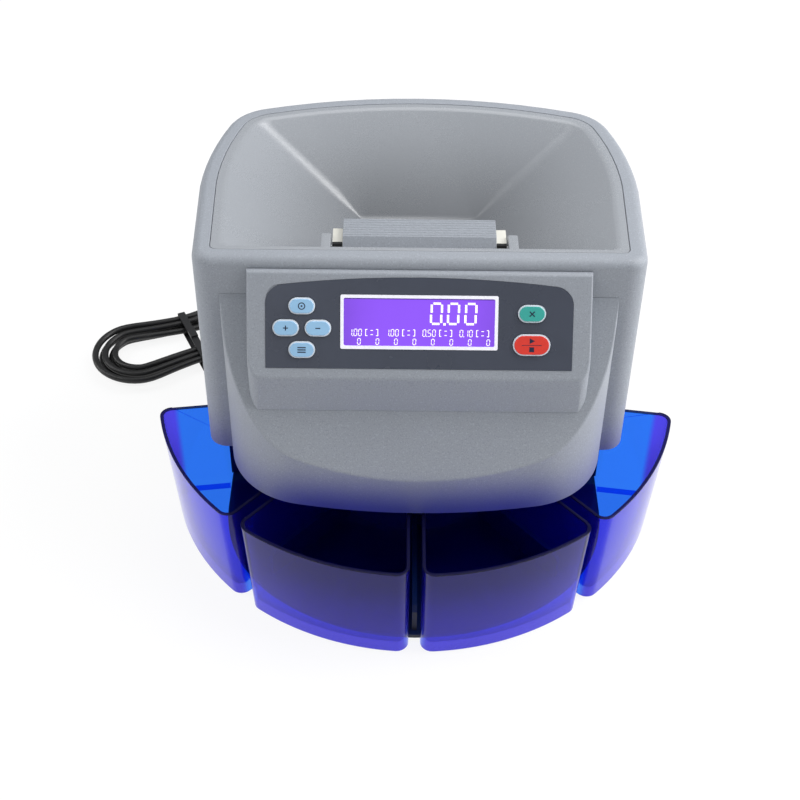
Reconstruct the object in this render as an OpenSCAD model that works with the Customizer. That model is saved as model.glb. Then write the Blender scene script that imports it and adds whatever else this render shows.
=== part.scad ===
// Counter-top coin sorter: a hopper feeds a pocket disc that sorts coins into four fan-shaped trays.
// X is to the right, Y to the back and Z up; the origin is under the middle of the machine.

/* [Overall] */
// Radius of the tray fan at the tray rims
fan_r = 180; // [176:1:184]
// Height of the hopper rim above the table
rim_z = 239; // [236:0.5:244]
// Height of the tray rims
tray_rim_z = 82.5; // [80:0.5:82.5]
// Height of the lower edge of the housing and the apron
skirt_z = 84.5; // [84.5:0.5:86]

/* [Housing] */
// Half of the housing's width at its widest place
house_hw = 142; // [141:0.5:142.5]
// Half of the housing's width at the front
house_front_hw = 139; // [138:0.5:139.5]
// Front wall of the housing, from the fan axis
house_front = -68; // [-69:0.5:-68]
// Back of the housing, from the fan axis
house_back = 129; // [127:0.5:131]
// Radius of the front corners
front_corner_r = 12.5; // [12.5:0.5:15]
// Radius of the bowed sides
side_bow_r = 232; // [226:1:238]
// Angle over which a side bows before its back corner
side_bow = 18.6; // [18:0.2:19.4]
// Radius of the back corners
back_corner_r = 35; // [33:0.5:37]
// Radius of the bowed back wall
back_bow_r = 355; // [345:5:365]
// Wall thickness of the large mouldings
wall = 2.8; // [2.4:0.1:3]
// Outer rounding of the rim
rim_round = 6; // [5:0.5:6]
// Width of the rim, from the outer face to the hopper seam
rim_flange = 11; // [10:0.5:11]

/* [Apron] */
// Half of the apron's width
apron_hw = 122.5; // [120:0.5:124]
// Foremost point of the apron, from the fan axis
apron_front = -128.5; // [-130:0.5:-127]
// Radius of the apron's front
apron_bow_r = 420; // [380:10:460]
// Radius of the apron's corners
apron_corner_r = 56; // [54:1:58]
// Height of the slope's foot at the foremost point
slope_foot_z = 113; // [111:0.5:115]
// Steepness of the slope, rise over run
slope_k = 1.66; // [1.62:0.01:1.68]

/* [Control panel] */
// Half of the console's width
console_hw = 104.5; // [103:0.5:106]
// Lower edge of the panel face: distance from the fan axis
panel_y = -106; // [-107:0.5:-105.5]
// Lower edge of the panel face: height
panel_z = 178; // [177:0.5:180]
// Width of the display frame
lcd_w = 95.6; // [92:0.2:98]
// Height of the display frame
lcd_h = 33.2; // [32:0.2:33.6]
// Travel of a key
key_travel = 0.8; // [0.5:0.1:0.8]

/* [Trays] */
// Angle that one tray takes
tray_angle = 41; // [41:0.2:41.4]
// Gap between two trays
tray_gap = 7.5; // [7:0.25:8]
// Wall thickness of a tray
tray_wall = 2.3; // [2:0.1:2.6]
// Lean of the outer wall over its height
tray_draft = 6; // [4:0.5:7]
// Inner end of a tray, from the fan axis
tray_in = 74; // [73:0.5:76]
// Corner radius at the outer wall
tray_corner = 8; // [6:0.5:9]

/* [Sorting] */
// Radius of the pocket disc
disc_r = 100.4; // [99:0.2:100.4]
// Number of pockets in the disc
pockets = 10; // [8:1:11]
// Diameter of a pocket
pocket_d = 28.6; // [27:0.2:29]
// Gear module
gear_m = 1.25; // [1.25:0.05:1.25]
// Teeth of the drive gear
gear_teeth = 56; // [54:2:56]
// Teeth of the motor pinion
pinion_teeth = 18; // [16:2:18]

/* [Mains cord] */
// Diameter of the cord
cord_d = 5.2; // [4.8:0.2:5.4]
// Straight run of the hank, half of it
hank_run = 45; // [42:1:50]
// Pitch between neighbouring loops
hank_pitch = 7.8; // [7.8:0.1:8.4]
// Radius of the innermost fold
hank_fold_r = 17; // [16:0.5:18]

/* [Hidden] */
$fn = 96;
fan_y = (fan_r - house_back) / 2;
fit = 0.05;          // running fit of a pin or shaft, on the radius
slip = 0.4;          // free gap around a moving piece
seam = 0.25;         // parting line between two mouldings
big = 400;
pan_z = 3;           // underside of the base pan
pan_t = 3;
floor_z = pan_z + pan_t;
deck_z = 88;
deck_t = 3;
deck_top = deck_z + deck_t;
throat_z = 188;
throat_hw = 37;
throat_front = -41;
throat_back = 48;
throat_low = 116;
mouth_inset = 15.4;  // from the housing's outer face to the hopper's mouth
case_r = tray_in - 5; // gear case under the deck
tray_angles = [-1.5 * tray_angle, -0.5 * tray_angle, 0.5 * tray_angle, 1.5 * tray_angle];
slot_widths = [20, 21.5, 24, 26.5];
gear_r = gear_m * gear_teeth / 2;
pinion_r = gear_m * pinion_teeth / 2;
gear_span = gear_r + pinion_r;
gear_z = 66;
plate_z = 60;
shaft_r = 5;
guard_y = -37;
guard_z = 227;
guard_pin_r = 1.5;
ear_x = 54.9;
ear_w = 6.3;
panel_top_z = 232.6;
panel_top_y = -71.6;
panel_angle = atan2(panel_top_z - panel_z, panel_top_y - panel_y);
face_t = 2.6;
lcd_v = 35;
lcd_border = 1.9;
console_corner = 8;
board_n = -10.6;     // front of the key board, measured out from the panel face
board_t = 1.6;
board_posts = [[-90, 12], [90, 12], [-90, 54], [90, 54]];
// Keys: across, up the panel, half width, half height
key_preset_at = [-71, 44.4, 8.1, 5.1];
key_plus_at = [-80.7, 31, 8.1, 5.1];
key_minus_at = [-61.2, 31, 8.1, 5.1];
key_batch_at = [-71, 17.8, 8.1, 5.1];
key_clear_at = [68, 41, 8.5, 5.4];
key_start_at = [68.2, 22, 11.4, 6.6];
all_keys = [key_preset_at, key_plus_at, key_minus_at, key_batch_at, key_clear_at, key_start_at];
rear_hw = 134;
rear_back = 116;
rear_corner = 60;
rear_wall = 2.6;
switch_x = 62;
switch_z = 46;
gland_x = -70;
gland_z = 30;
gland_out = 14;
feet = [[-95, -70], [95, -70], [-95, 85], [95, 85]];
pan_screws = [[-128, 28], [128, 28], [-50, 110], [50, 110]];
board_feet = [[-98, 66], [-42, 66], [-98, 96], [-42, 96]];
deck_screw_r = case_r - 7;
rocker_pin_r = 1.6;

body_grey = [0.60, 0.61, 0.63];
dark_grey = [0.16, 0.17, 0.18];
tray_blue = [0.20, 0.22, 0.80, 0.7];
steel = [0.75, 0.76, 0.78];
board_green = [0.10, 0.35, 0.20];

// Helpers

// Everything is drawn about the fan axis and moved here to the part's own origin.
module on_fan() {
    translate([0, fan_y, 0]) children();
}

// A profile drawn as (y, z), extruded along X about the middle.
module along_x(width) {
    rotate([90, 0, 90]) linear_extrude(width, center = true) children();
}

// A profile drawn as (x, z), extruded along Y about the middle.
module along_y(depth) {
    rotate([90, 0, 0]) linear_extrude(depth, center = true) children();
}

// Panel frame: x across, y up the panel, z out of it.
module on_panel() {
    translate([0, panel_y, panel_z]) rotate([panel_angle, 0, 0]) children();
}

// Turns a piece drawn along +X to a fan direction; 0 degrees is straight to the front.
module at_angle(a) {
    rotate([0, 0, a - 90]) children();
}

module box(x0, x1, y0, y1, z0, z1) {
    translate([x0, y0, z0]) cube([x1 - x0, y1 - y0, z1 - z0]);
}

// A long hole: flat above and below, with round ends.
module stadium(a, b) {
    polygon(concat(arc([a - b, 0], b, -90, 90, 12), arc([b - a, 0], b, 90, 270, 12)));
}

module rounded_plate(w, h, r) {
    translate([-w / 2 + r, 0]) square([w - 2 * r, h]);
    translate([-w / 2, r]) square([w, h - 2 * r]);
    for (x = [-w / 2 + r, w / 2 - r], y = [r, h - r]) {
        translate([x, y]) circle(r);
    }
}

function slope_z(y) = slope_foot_z + slope_k * (y - apron_front);

// Points of a round stretch; first = 1 leaves out a point that the stretch before it ends on.
function arc(c, r, from, to, n, first = 0) = [
    for (i = [first : n]) c + r * [cos(from + (to - from) * i / n), sin(from + (to - from) * i / n)]
];

// Housing plan: a straight front, sides that bow gently, tight back corners and a bowed back.
corner_x = house_hw - side_bow_r + (side_bow_r - back_corner_r) * cos(side_bow);
bow_y = house_back - back_bow_r;
bow_start = acos(corner_x / (back_bow_r - back_corner_r));
corner_y = bow_y + (back_bow_r - back_corner_r) * sin(bow_start);
widest_y = corner_y - (side_bow_r - back_corner_r) * sin(side_bow);

module housing_plan(inset) {
    r = max(front_corner_r - inset, 4);
    x = house_front_hw - inset - r;
    y = house_front + inset + r;
    side_x = house_hw - side_bow_r;
    polygon(concat(
        arc([x, y], r, -90, 0, 6),
        arc([side_x, widest_y], side_bow_r - inset, 0, side_bow, 6),
        arc([corner_x, corner_y], back_corner_r - inset, side_bow, bow_start, 9, 1),
        arc([0, bow_y], back_bow_r - inset, bow_start, 180 - bow_start, 12, 1),
        arc([-corner_x, corner_y], back_corner_r - inset, 180 - bow_start, 180 - side_bow, 9, 1),
        arc([-side_x, widest_y], side_bow_r - inset, 180 - side_bow, 180, 6, 1),
        arc([-x, y], r, 180, 270, 6)
    ));
}

// Apron plan: a bowed front with round corners that runs straight back to the housing.
apron_corner_x = apron_hw - apron_corner_r;
apron_bow_y = apron_front + apron_bow_r;
apron_corner_y = apron_bow_y - sqrt(pow(apron_bow_r - apron_corner_r, 2) - pow(apron_corner_x, 2));
apron_swing = asin(apron_corner_x / (apron_bow_r - apron_corner_r));

module apron_plan(inset) {
    x = apron_hw - inset;
    polygon(concat(
        [[-x, apron_corner_y + 20]],
        arc([-apron_corner_x, apron_corner_y], apron_corner_r - inset, 180, 270 - apron_swing, 18),
        arc([0, apron_bow_y], apron_bow_r - inset, 270 - apron_swing, 270 + apron_swing, 12, 1),
        arc([apron_corner_x, apron_corner_y], apron_corner_r - inset, 270 + apron_swing, 360, 18, 1),
        [[x, apron_corner_y + 20]]
    ));
}

// Base pan plan: a round nose under the trays and a straight back under the housing.
pan_hw = 133;
pan_nose = -164;
pan_nose_r = 150;
pan_corner_r = 105;
pan_corner_x = pan_hw - pan_corner_r;
pan_nose_y = pan_nose + pan_nose_r;
pan_corner_y = pan_nose_y - sqrt(pow(pan_nose_r - pan_corner_r, 2) - pow(pan_corner_x, 2));
pan_swing = asin(pan_corner_x / (pan_nose_r - pan_corner_r));

module pan_plan(grow) {
    rear = rear_back - rear_corner - 1;
    polygon(concat(
        arc([-pan_corner_x, pan_corner_y], pan_corner_r + grow, 180, 270 - pan_swing, 10),
        arc([0, pan_nose_y], pan_nose_r + grow, 270 - pan_swing, 270 + pan_swing, 18, 1),
        arc([pan_corner_x, pan_corner_y], pan_corner_r + grow, 270 + pan_swing, 360, 10, 1),
        arc([pan_hw - rear_corner, rear], rear_corner + grow, 0, 90, 12),
        arc([-pan_hw + rear_corner, rear], rear_corner + grow, 90, 180, 12)
    ));
}

// Rear base plan: behind the last trays, with a flat back.
rear_edge = tan(90 - 2 * tray_angle);

module rear_plan(inset) {
    x = rear_hw - inset;
    y = rear_back - rear_corner;
    polygon(concat(
        [[-x, 5 + inset - rear_edge * x], [0, 5 + inset], [x, 5 + inset - rear_edge * x]],
        arc([rear_hw - rear_corner, y], rear_corner - inset, 0, 90, 12),
        arc([-rear_hw + rear_corner, y], rear_corner - inset, 90, 180, 12)
    ));
}

// Base

module base_pan() {
    color(dark_grey) on_fan() difference() {
        union() {
            translate([0, 0, pan_z]) linear_extrude(pan_t) pan_plan(0);
            for (p = board_feet) {
                translate([p[0], p[1], floor_z - 0.5]) cylinder(r = 4, h = 10.5);
            }
        }
        for (p = pan_screws) {
            translate([p[0], p[1], 0]) cylinder(r = 1.6, h = 10);
            translate([p[0], p[1], pan_z - 1]) cylinder(r = 3.6, h = 2.6);
        }
        for (p = feet) {
            translate([p[0], p[1], pan_z - 1]) cylinder(r = 9.2, h = 1.8);
        }
        // Cooling slots under the transformer
        for (i = [0 : 5]) {
            box(52 + i * 10, 56 + i * 10, 60, 92, 0, 10);
        }
    }
}

module rubber_feet() {
    color([0.08, 0.08, 0.08]) on_fan() for (p = feet) {
        translate([p[0], p[1], 0]) cylinder(r1 = 8, r2 = 9, h = 3.8);
    }
}

module tray_rails() {
    color(dark_grey) on_fan() for (a = [-tray_angle, 0, tray_angle]) {
        end = a == 0 ? 160 : 148;
        at_angle(a) along_y(3.2) polygon([
            [case_r + 3, floor_z], [end, floor_z], [end, floor_z + 18], [end - 4, floor_z + 21],
            [case_r + 3, floor_z + 21]
        ]);
    }
}

module gear_case() {
    color(dark_grey) on_fan() difference() {
        union() {
            difference() {
                translate([0, 0, floor_z]) cylinder(r = case_r, h = deck_z - floor_z);
                translate([0, 0, floor_z - 1]) cylinder(r = case_r - 3, h = deck_z);
            }
            // Ledges that carry the motor plate, and bosses for the deck screws
            for (i = [0 : 3]) {
                rotate([0, 0, 45 + i * 90]) translate([deck_screw_r + 1, 0, floor_z]) cylinder(r = 5, h = plate_z - floor_z);
                rotate([0, 0, 15 + i * 90]) translate([deck_screw_r, 0, plate_z + 6])
                    cylinder(r = 5.5, h = deck_z - plate_z - 6.2);
            }
        }
        for (i = [0 : 3]) {
            rotate([0, 0, 15 + i * 90]) translate([deck_screw_r, 0, plate_z + 10]) cylinder(r = 1.3, h = 40);
        }
        // Cable way to the rear bay
        box(-16, 16, 40, 80, floor_z - 1, 50);
    }
}

module rear_base() {
    color(dark_grey) on_fan() difference() {
        union() {
            difference() {
                translate([0, 0, floor_z]) linear_extrude(skirt_z - floor_z) rear_plan(0);
                translate([0, 0, floor_z - 1]) linear_extrude(skirt_z) rear_plan(rear_wall);
            }
            for (p = pan_screws) {
                translate([p[0], p[1], floor_z]) cylinder(r = 4.2, h = 30);
            }
        }
        translate([0, 0, floor_z - 1]) cylinder(r = case_r + seam, h = skirt_z);
        for (p = pan_screws) {
            translate([p[0], p[1], floor_z - 1]) cylinder(r = 1.35, h = 20);
        }
        // Switch, gland and louvres in the flat back
        box(switch_x - 6.6, switch_x + 6.6, rear_back - 10, rear_back + 5, switch_z - 9.7, switch_z + 9.7);
        translate([gland_x, rear_back - 10, gland_z]) rotate([-90, 0, 0]) cylinder(r = 6, h = 20);
        for (i = [0 : 6]) {
            box(-24 + i * 8, -20 + i * 8, rear_back - 10, rear_back + 5, 24, 62);
        }
    }
}

module base_screws() {
    color(steel) on_fan() for (p = pan_screws) {
        translate([p[0], p[1], pan_z]) cylinder(r = 3.2, h = 1.6);
        translate([p[0], p[1], pan_z]) cylinder(r = 1.35, h = 16);
    }
}

// Housing

// Outer form of the housing: plates stacked up the rounding of the rim and drawn together.
module housing_form() {
    hull() {
        translate([0, 0, skirt_z]) linear_extrude(rim_z - rim_round - skirt_z) housing_plan(0);
        for (a = [18 : 18 : 90]) {
            translate([0, 0, rim_z - rim_round * (1 - sin(a)) - 0.01]) linear_extrude(0.01)
                housing_plan(rim_round * (1 - cos(a)));
        }
    }
}

module upper_housing() {
    color(body_grey) on_fan() difference() {
        housing_form();
        translate([0, 0, skirt_z + wall]) linear_extrude(rim_z - rim_round - skirt_z - wall) housing_plan(wall);
        translate([0, 0, rim_z - rim_round - 1]) linear_extrude(rim_round - wall + 1) housing_plan(rim_round);
        translate([0, 0, skirt_z - 1]) linear_extrude(rim_z) housing_plan(rim_flange);
        // Opening to the sorting space behind the apron
        box(-116, 116, house_front - 5, house_front + rim_flange + 4, skirt_z - 1, 206);
        // Window for the key board behind the console
        box(-98, 98, house_front - 5, house_front + 4, 200, 226);
    }
}

module front_apron() {
    drop = wall / cos(atan(slope_k));
    color(body_grey) on_fan() difference() {
        intersection() {
            translate([0, 0, skirt_z]) linear_extrude(140) apron_plan(0);
            along_x(300) polygon([
                [-140, skirt_z], [-140, slope_z(-140)],
                [house_front - seam, slope_z(house_front - seam)], [house_front - seam, skirt_z]
            ]);
        }
        difference() {
            intersection() {
                translate([0, 0, skirt_z - 1]) linear_extrude(140) apron_plan(wall);
                along_x(300) polygon([
                    [-140, skirt_z - 1], [-140, slope_z(-140) - drop],
                    [-60, slope_z(-60) - drop], [-60, skirt_z - 1]
                ]);
            }
            // Stiffening ribs
            for (x = [-60, 60]) {
                translate([x, 0, 0]) along_x(2.2) polygon([
                    [-130, 93], [-112, 93], [-80, slope_z(-80) - drop - 8], [-80, 214], [-130, 214]
                ]);
            }
        }
        // Way for the key board's cable under the console
        along_x(172) polygon([
            [-99, slope_z(-99) - 12], [-99, slope_z(-99) + 5], [-76, slope_z(-76) + 5], [-76, slope_z(-76) - 12]
        ]);
    }
}

// Control panel

module overlay_plan(grow) {
    intersection() {
        union() {
            translate([0, 6.5 - grow]) rounded_plate(186 + 2 * grow, 56 + 2 * grow, 7);
            translate([-93 - grow, 6.5 - grow]) square([186 + 2 * grow, 12]);
        }
        translate([0, 62 - 740]) circle(740 + grow, $fn = 200);
    }
}

module lcd_plan(inset) {
    translate([0, lcd_v - lcd_h / 2 + inset]) rounded_plate(lcd_w - 2 * inset, lcd_h - 2 * inset, 1);
}

module key_holes(gap, depth) {
    for (k = all_keys) {
        translate([k[0], k[1], -depth]) linear_extrude(2 * depth) stadium(k[2] + gap, k[3] + gap);
    }
}

// Plan of the console: round corners at the front.
module console_plan() {
    x = console_hw - console_corner;
    y = panel_y + console_corner;
    polygon(concat(
        [[-console_hw, house_front]],
        arc([-x, y], console_corner, 180, 270, 8),
        arc([x, y], console_corner, 270, 360, 8),
        [[console_hw, house_front]]
    ));
}

module console() {
    color(body_grey) on_fan() difference() {
        union() {
            difference() {
                intersection() {
                    along_x(2 * console_hw + 10) polygon([
                        [panel_y + 0.5, slope_z(panel_y + 0.5) + seam], [panel_y, panel_z],
                        [panel_top_y, panel_top_z], [house_front - seam, panel_top_z],
                        [house_front - seam, slope_z(house_front - seam) + seam]
                    ]);
                    translate([0, 0, skirt_z]) linear_extrude(rim_z) console_plan();
                }
                along_x(2 * (console_hw - 4)) polygon([
                    [-102.9, 140], [-102.9, 178], [-70.3, 229.9], [-60, 229.9], [-60, 140]
                ]);
            }
            on_panel() for (p = board_posts) {
                translate([p[0], p[1], board_n]) cylinder(r = 2.8, h = -board_n - 1);
            }
        }
        on_panel() {
            translate([0, 0, -0.8]) linear_extrude(5) overlay_plan(0.15);
            translate([0, 0, -10]) linear_extrude(20) lcd_plan(lcd_border - 0.4);
            key_holes(slip, 6);
            for (p = board_posts) {
                translate([p[0], p[1], board_n - 1]) cylinder(r = 1.1, h = 8);
            }
        }
    }
}

module panel_overlay() {
    color([0.22, 0.25, 0.32]) on_fan() on_panel() difference() {
        translate([0, 0, -0.8]) linear_extrude(1.1) overlay_plan(0);
        translate([0, 0, -2]) linear_extrude(5) lcd_plan(0);
        key_holes(slip, 5);
    }
}

module lcd_frame() {
    color("white") on_fan() on_panel() translate([0, 0, -0.8]) linear_extrude(1.4) difference() {
        lcd_plan(0.15);
        lcd_plan(lcd_border + 0.15);
    }
}

module lcd_glass() {
    color([0.55, 0.35, 0.95]) on_fan() on_panel() translate([0, 0, -2.9]) linear_extrude(2.1)
        lcd_plan(lcd_border - 0.2);
}

module lcd_module() {
    color(steel) on_fan() on_panel() difference() {
        translate([0, 0, board_n]) linear_extrude(-board_n - 2.9) lcd_plan(0.8);
        translate([0, 0, board_n - 1]) linear_extrude(4) lcd_plan(4);
    }
}

module key_board() {
    color(board_green) on_fan() on_panel() difference() {
        translate([0, 9, board_n - board_t]) linear_extrude(board_t) rounded_plate(190, 49, 2);
        for (p = board_posts) {
            translate([p[0], p[1], board_n - 5]) cylinder(r = 1.4, h = 10);
        }
    }
}

module key_switches() {
    color([0.1, 0.1, 0.1]) on_fan() on_panel() for (k = all_keys) {
        translate([k[0] - 3, k[1] - 3, board_n]) cube([6, 6, 3.2]);
        translate([k[0], k[1], board_n + 3]) cylinder(r = 1.7, h = 0.6);
    }
}

module board_screws() {
    color(steel) on_fan() on_panel() for (p = board_posts) {
        translate([p[0], p[1], board_n - board_t - 1.6]) cylinder(r = 2.5, h = 1.6);
        translate([p[0], p[1], board_n - board_t]) cylinder(r = 1.1, h = 7.5);
    }
}

module key(at, shade) {
    color(shade) on_fan() on_panel() translate([at[0], at[1], 0]) {
        translate([0, 0, -3.2]) linear_extrude(4.4) stadium(at[2], at[3]);
        translate([0, 0, 1.1]) linear_extrude(0.5) stadium(at[2] - 0.8, at[3] - 0.8);
        translate([0, 0, -4.6]) linear_extrude(1.6) stadium(at[2] + 1.2, at[3] + 1.2);
        translate([0, 0, -6.1]) cylinder(r = 2, h = 2);
    }
}

// Hopper and throat guard

// Funnel from the square throat to the mouth, whose plan follows the housing.
module funnel(grow, front, drop) {
    hull() {
        box(-throat_hw - grow, throat_hw + grow, throat_front - front, throat_back + grow,
            throat_z - drop, throat_z - drop + 0.01);
        translate([0, 0, rim_z + 1 - drop]) linear_extrude(0.01) housing_plan(mouth_inset);
    }
}

module hopper() {
    skin = 2.6;
    ear_top = 233;
    flange_z = rim_z - 2 * wall;
    color(body_grey) on_fan() difference() {
        union() {
            difference() {
                union() {
                    translate([0, 0, flange_z]) linear_extrude(rim_z - 0.2 - flange_z) housing_plan(rim_flange + seam);
                    translate([0, 0, flange_z]) linear_extrude(wall - seam) housing_plan(rim_round + 0.8);
                    funnel(1.2, skin, 2.4);
                    box(-throat_hw - skin, throat_hw + skin, throat_front - skin, throat_back + skin,
                        throat_low, throat_z + 2);
                }
                funnel(0, 0, 0);
                box(-throat_hw, throat_hw, throat_front, throat_back, throat_low - 1, throat_z + 1);
            }
            // Ears that carry the guard's pin
            for (s = [-1, 1]) {
                translate([s * (ear_x + ear_w / 2), 0, 0]) along_x(ear_w) {
                    polygon([[-46, 196], [-30, 196], [-28.5, 215], [-28.5, ear_top - 4], [-51.5, ear_top - 4]]);
                    polygon([[-51.5, ear_top - 5], [-32.5, ear_top - 5], [-32.5, ear_top], [-51.5, ear_top]]);
                    translate([-32.5, ear_top - 4]) circle(4);
                }
            }
        }
        translate([0, guard_y, guard_z]) rotate([0, 90, 0]) cylinder(r = guard_pin_r, h = 140, center = true);
    }
}

module guard_pin() {
    color(steel) on_fan() translate([0, guard_y, guard_z]) rotate([0, 90, 0])
        cylinder(r = guard_pin_r, h = 2 * (ear_x + ear_w) - 1, center = true);
}

module guard_carrier() {
    color([0.95, 0.94, 0.90]) on_fan() difference() {
        along_x(2 * (ear_x - 0.7)) polygon([
            [-40.6, 224.5], [-38.4, 230], [-21.5, 230], [-20.4, 228.5], [-22, 225.5], [-36, 222.6], [-39, 222.8]
        ]);
        translate([0, guard_y, guard_z]) rotate([0, 90, 0])
            cylinder(r = guard_pin_r + fit, h = 140, center = true);
        // Lightening pockets between the webs, open below
        for (i = [-3 : 3]) {
            box(i * 14 - 5.5, i * 14 + 5.5, -33, -24, 220, 227.5);
        }
    }
}

module guard_grip() {
    grip_w = 95.2;
    color(body_grey) on_fan() {
        along_x(grip_w) polygon([
            [-41, 224.6], [-42.8, 226], [-42.8, 228.2], [-36.8, 235.2], [-18.2, 235.2], [-17, 234],
            [-17, 227], [-18.8, 227], [-19.4, 230.02], [-38.6, 230.02]
        ]);
        for (i = [0 : 6]) {
            translate([0, -19.6 - i * 2.6, 235]) rotate([0, 90, 0]) cylinder(r = 0.7, h = grip_w, center = true, $fn = 24);
        }
    }
}

// Sorting mechanism

module sorting_deck() {
    color(steel) on_fan() difference() {
        translate([0, 0, deck_z]) cylinder(r = 112, h = deck_t);
        translate([0, 0, deck_z - 1]) cylinder(r = 8, h = 10);
        for (i = [0 : 3]) {
            rotate([0, 0, 15 + i * 90]) translate([deck_screw_r, 0, deck_z - 1]) {
                cylinder(r = 1.6, h = 10);
                translate([0, 0, 2.2]) cylinder(r = 3.2, h = 5);
            }
            // Sorting slots: each is wider than the one before, against the fence
            at_angle(tray_angles[i] - 9) translate([0, 0, deck_z - 1])
                rotate_extrude(angle = 18) translate([101 - slot_widths[i], 0]) square([slot_widths[i], 10]);
        }
    }
}

module deck_screws() {
    color(steel) on_fan() for (i = [0 : 3]) {
        rotate([0, 0, 15 + i * 90]) translate([deck_screw_r, 0, deck_z]) {
            translate([0, 0, 1.2]) cylinder(r = 2.9, h = 1.6);
            translate([0, 0, -10]) cylinder(r = 1.3, h = 12);
        }
    }
}

module sorting_fence() {
    color(steel) on_fan() translate([0, 0, deck_top]) difference() {
        cylinder(r = 103.5, h = 22);
        translate([0, 0, -1]) cylinder(r = 101, h = 30);
    }
}

module coin_chute(i) {
    color([0.30, 0.30, 0.75]) on_fan() at_angle(tray_angles[i]) {
        difference() {
            box(75, 110, -18.5, 18.5, 66, deck_z);
            box(76.8, 108.2, -16.7, 16.7, 60, deck_z + 1);
        }
        // Tongue that guides the coins down into the tray
        translate([109.1, 0, 0]) along_x(1.8) polygon([[-9, 67], [9, 67], [2.4, 58.5], [-2.4, 58.5]]);
    }
}

module coin_sensor(i) {
    color([0.12, 0.12, 0.13]) on_fan() at_angle(tray_angles[i]) difference() {
        box(103.8, 110.5, -7, 7, deck_top, deck_top + 12);
        box(103, 107.5, -5, 5, deck_top + 6, deck_top + 20);
    }
}

module sorting_disc() {
    low = deck_top + 0.5;
    color([0.85, 0.85, 0.80]) on_fan() difference() {
        union() {
            translate([0, 0, low]) cylinder(r = disc_r, h = 6);
            translate([0, 0, low + 6]) cylinder(r1 = 34, r2 = 12, h = 9);
            translate([0, 0, low + 5]) cylinder(r = 12, h = 14);
            // Low vanes that stir the coins toward the pockets
            for (i = [0 : 4]) {
                rotate([0, 0, i * 72]) translate([44, 0, low + 4]) cylinder(r = 4, h = 7);
            }
        }
        translate([0, 0, low - 1]) cylinder(r = shaft_r, h = 40);
        for (i = [0 : pockets - 1]) {
            rotate([0, 0, i * 360 / pockets]) translate([84, 0, low - 1]) cylinder(r = pocket_d / 2, h = 20);
        }
    }
}

module disc_shaft() {
    color(steel) on_fan() {
        translate([0, 0, plate_z - 3]) cylinder(r = shaft_r, h = 51);
        translate([0, 0, plate_z + 48]) cylinder(r1 = shaft_r, r2 = shaft_r - 1, h = 1.5);
    }
}

module toothed_wheel(teeth, thick, turn) {
    pitch_r = gear_m * teeth / 2;
    root_r = pitch_r - 1.35 * gear_m;
    tip_r = pitch_r + 0.9 * gear_m;
    tooth = 360 / teeth;
    rotate([0, 0, turn]) linear_extrude(thick) polygon([
        for (i = [0 : teeth - 1], c = [[-0.36, root_r], [-0.20, pitch_r], [-0.09, tip_r], [0.09, tip_r], [0.20, pitch_r], [0.36, root_r]])
            [c[1] * cos((i + c[0]) * tooth), c[1] * sin((i + c[0]) * tooth)]
    ]);
}

module drive_gear() {
    color([0.93, 0.92, 0.86]) on_fan() difference() {
        union() {
            translate([0, 0, gear_z]) toothed_wheel(gear_teeth, 7, 90);
            translate([0, 0, gear_z]) cylinder(r = 11, h = 14);
        }
        translate([0, 0, gear_z - 1]) cylinder(r = shaft_r, h = 40);
        for (i = [0 : 5]) {
            rotate([0, 0, i * 60 + 30]) translate([22, 0, gear_z - 1]) cylinder(r = 7, h = 10);
        }
    }
}

module motor_pinion() {
    // Half a tooth round, so that a gap faces the drive gear's tooth
    color([0.72, 0.60, 0.30]) on_fan() translate([0, gear_span, 0]) {
        translate([0, 0, gear_z]) toothed_wheel(pinion_teeth, 7, -90 + 180 / pinion_teeth);
        translate([0, 0, plate_z - 3]) cylinder(r = 3, h = 16);
    }
}

module motor_plate() {
    color(steel) on_fan() difference() {
        translate([0, 0, plate_z]) cylinder(r = case_r - 3.3, h = 3);
        translate([0, 0, plate_z - 1]) cylinder(r = 8, h = 6);
        translate([0, gear_span, plate_z - 1]) cylinder(r = 7, h = 6);
        for (a = [140, 220, 320]) {
            rotate([0, 0, a]) translate([36, 0, plate_z - 1]) cylinder(r = 9, h = 6);
        }
    }
}

module motor() {
    color([0.55, 0.56, 0.58]) on_fan() translate([0, gear_span, 0]) difference() {
        union() {
            translate([0, 0, 16]) cylinder(r = 15.5, h = 26);
            translate([0, 0, 41]) cylinder(r = 18, h = plate_z - 41);
            translate([0, 0, plate_z - 1]) cylinder(r = 7, h = 4);
            translate([0, 0, 12]) cylinder(r = 6, h = 5);
        }
        translate([0, 0, plate_z - 4]) cylinder(r = 3 + fit, h = 20);
    }
}

module shaft_bushes() {
    color([0.70, 0.55, 0.30]) on_fan() {
        difference() {
            union() {
                translate([0, 0, deck_z - 2]) cylinder(r = 11, h = 2);
                translate([0, 0, deck_z - 2]) cylinder(r = 8, h = deck_t + 2);
            }
            translate([0, 0, deck_z - 4]) cylinder(r = shaft_r + fit, h = 20);
        }
        difference() {
            union() {
                translate([0, 0, plate_z - 2]) cylinder(r = 11, h = 2);
                translate([0, 0, plate_z - 2]) cylinder(r = 8, h = 5);
            }
            translate([0, 0, plate_z - 4]) cylinder(r = shaft_r + fit, h = 20);
        }
    }
}

// Rear bay

module main_board() {
    color(board_green) on_fan() difference() {
        box(-104, -36, 63, 102, floor_z + 10, floor_z + 11.6);
        for (p = board_feet) {
            translate([p[0], p[1], 0]) cylinder(r = 1.6, h = 60);
        }
    }
}

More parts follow.
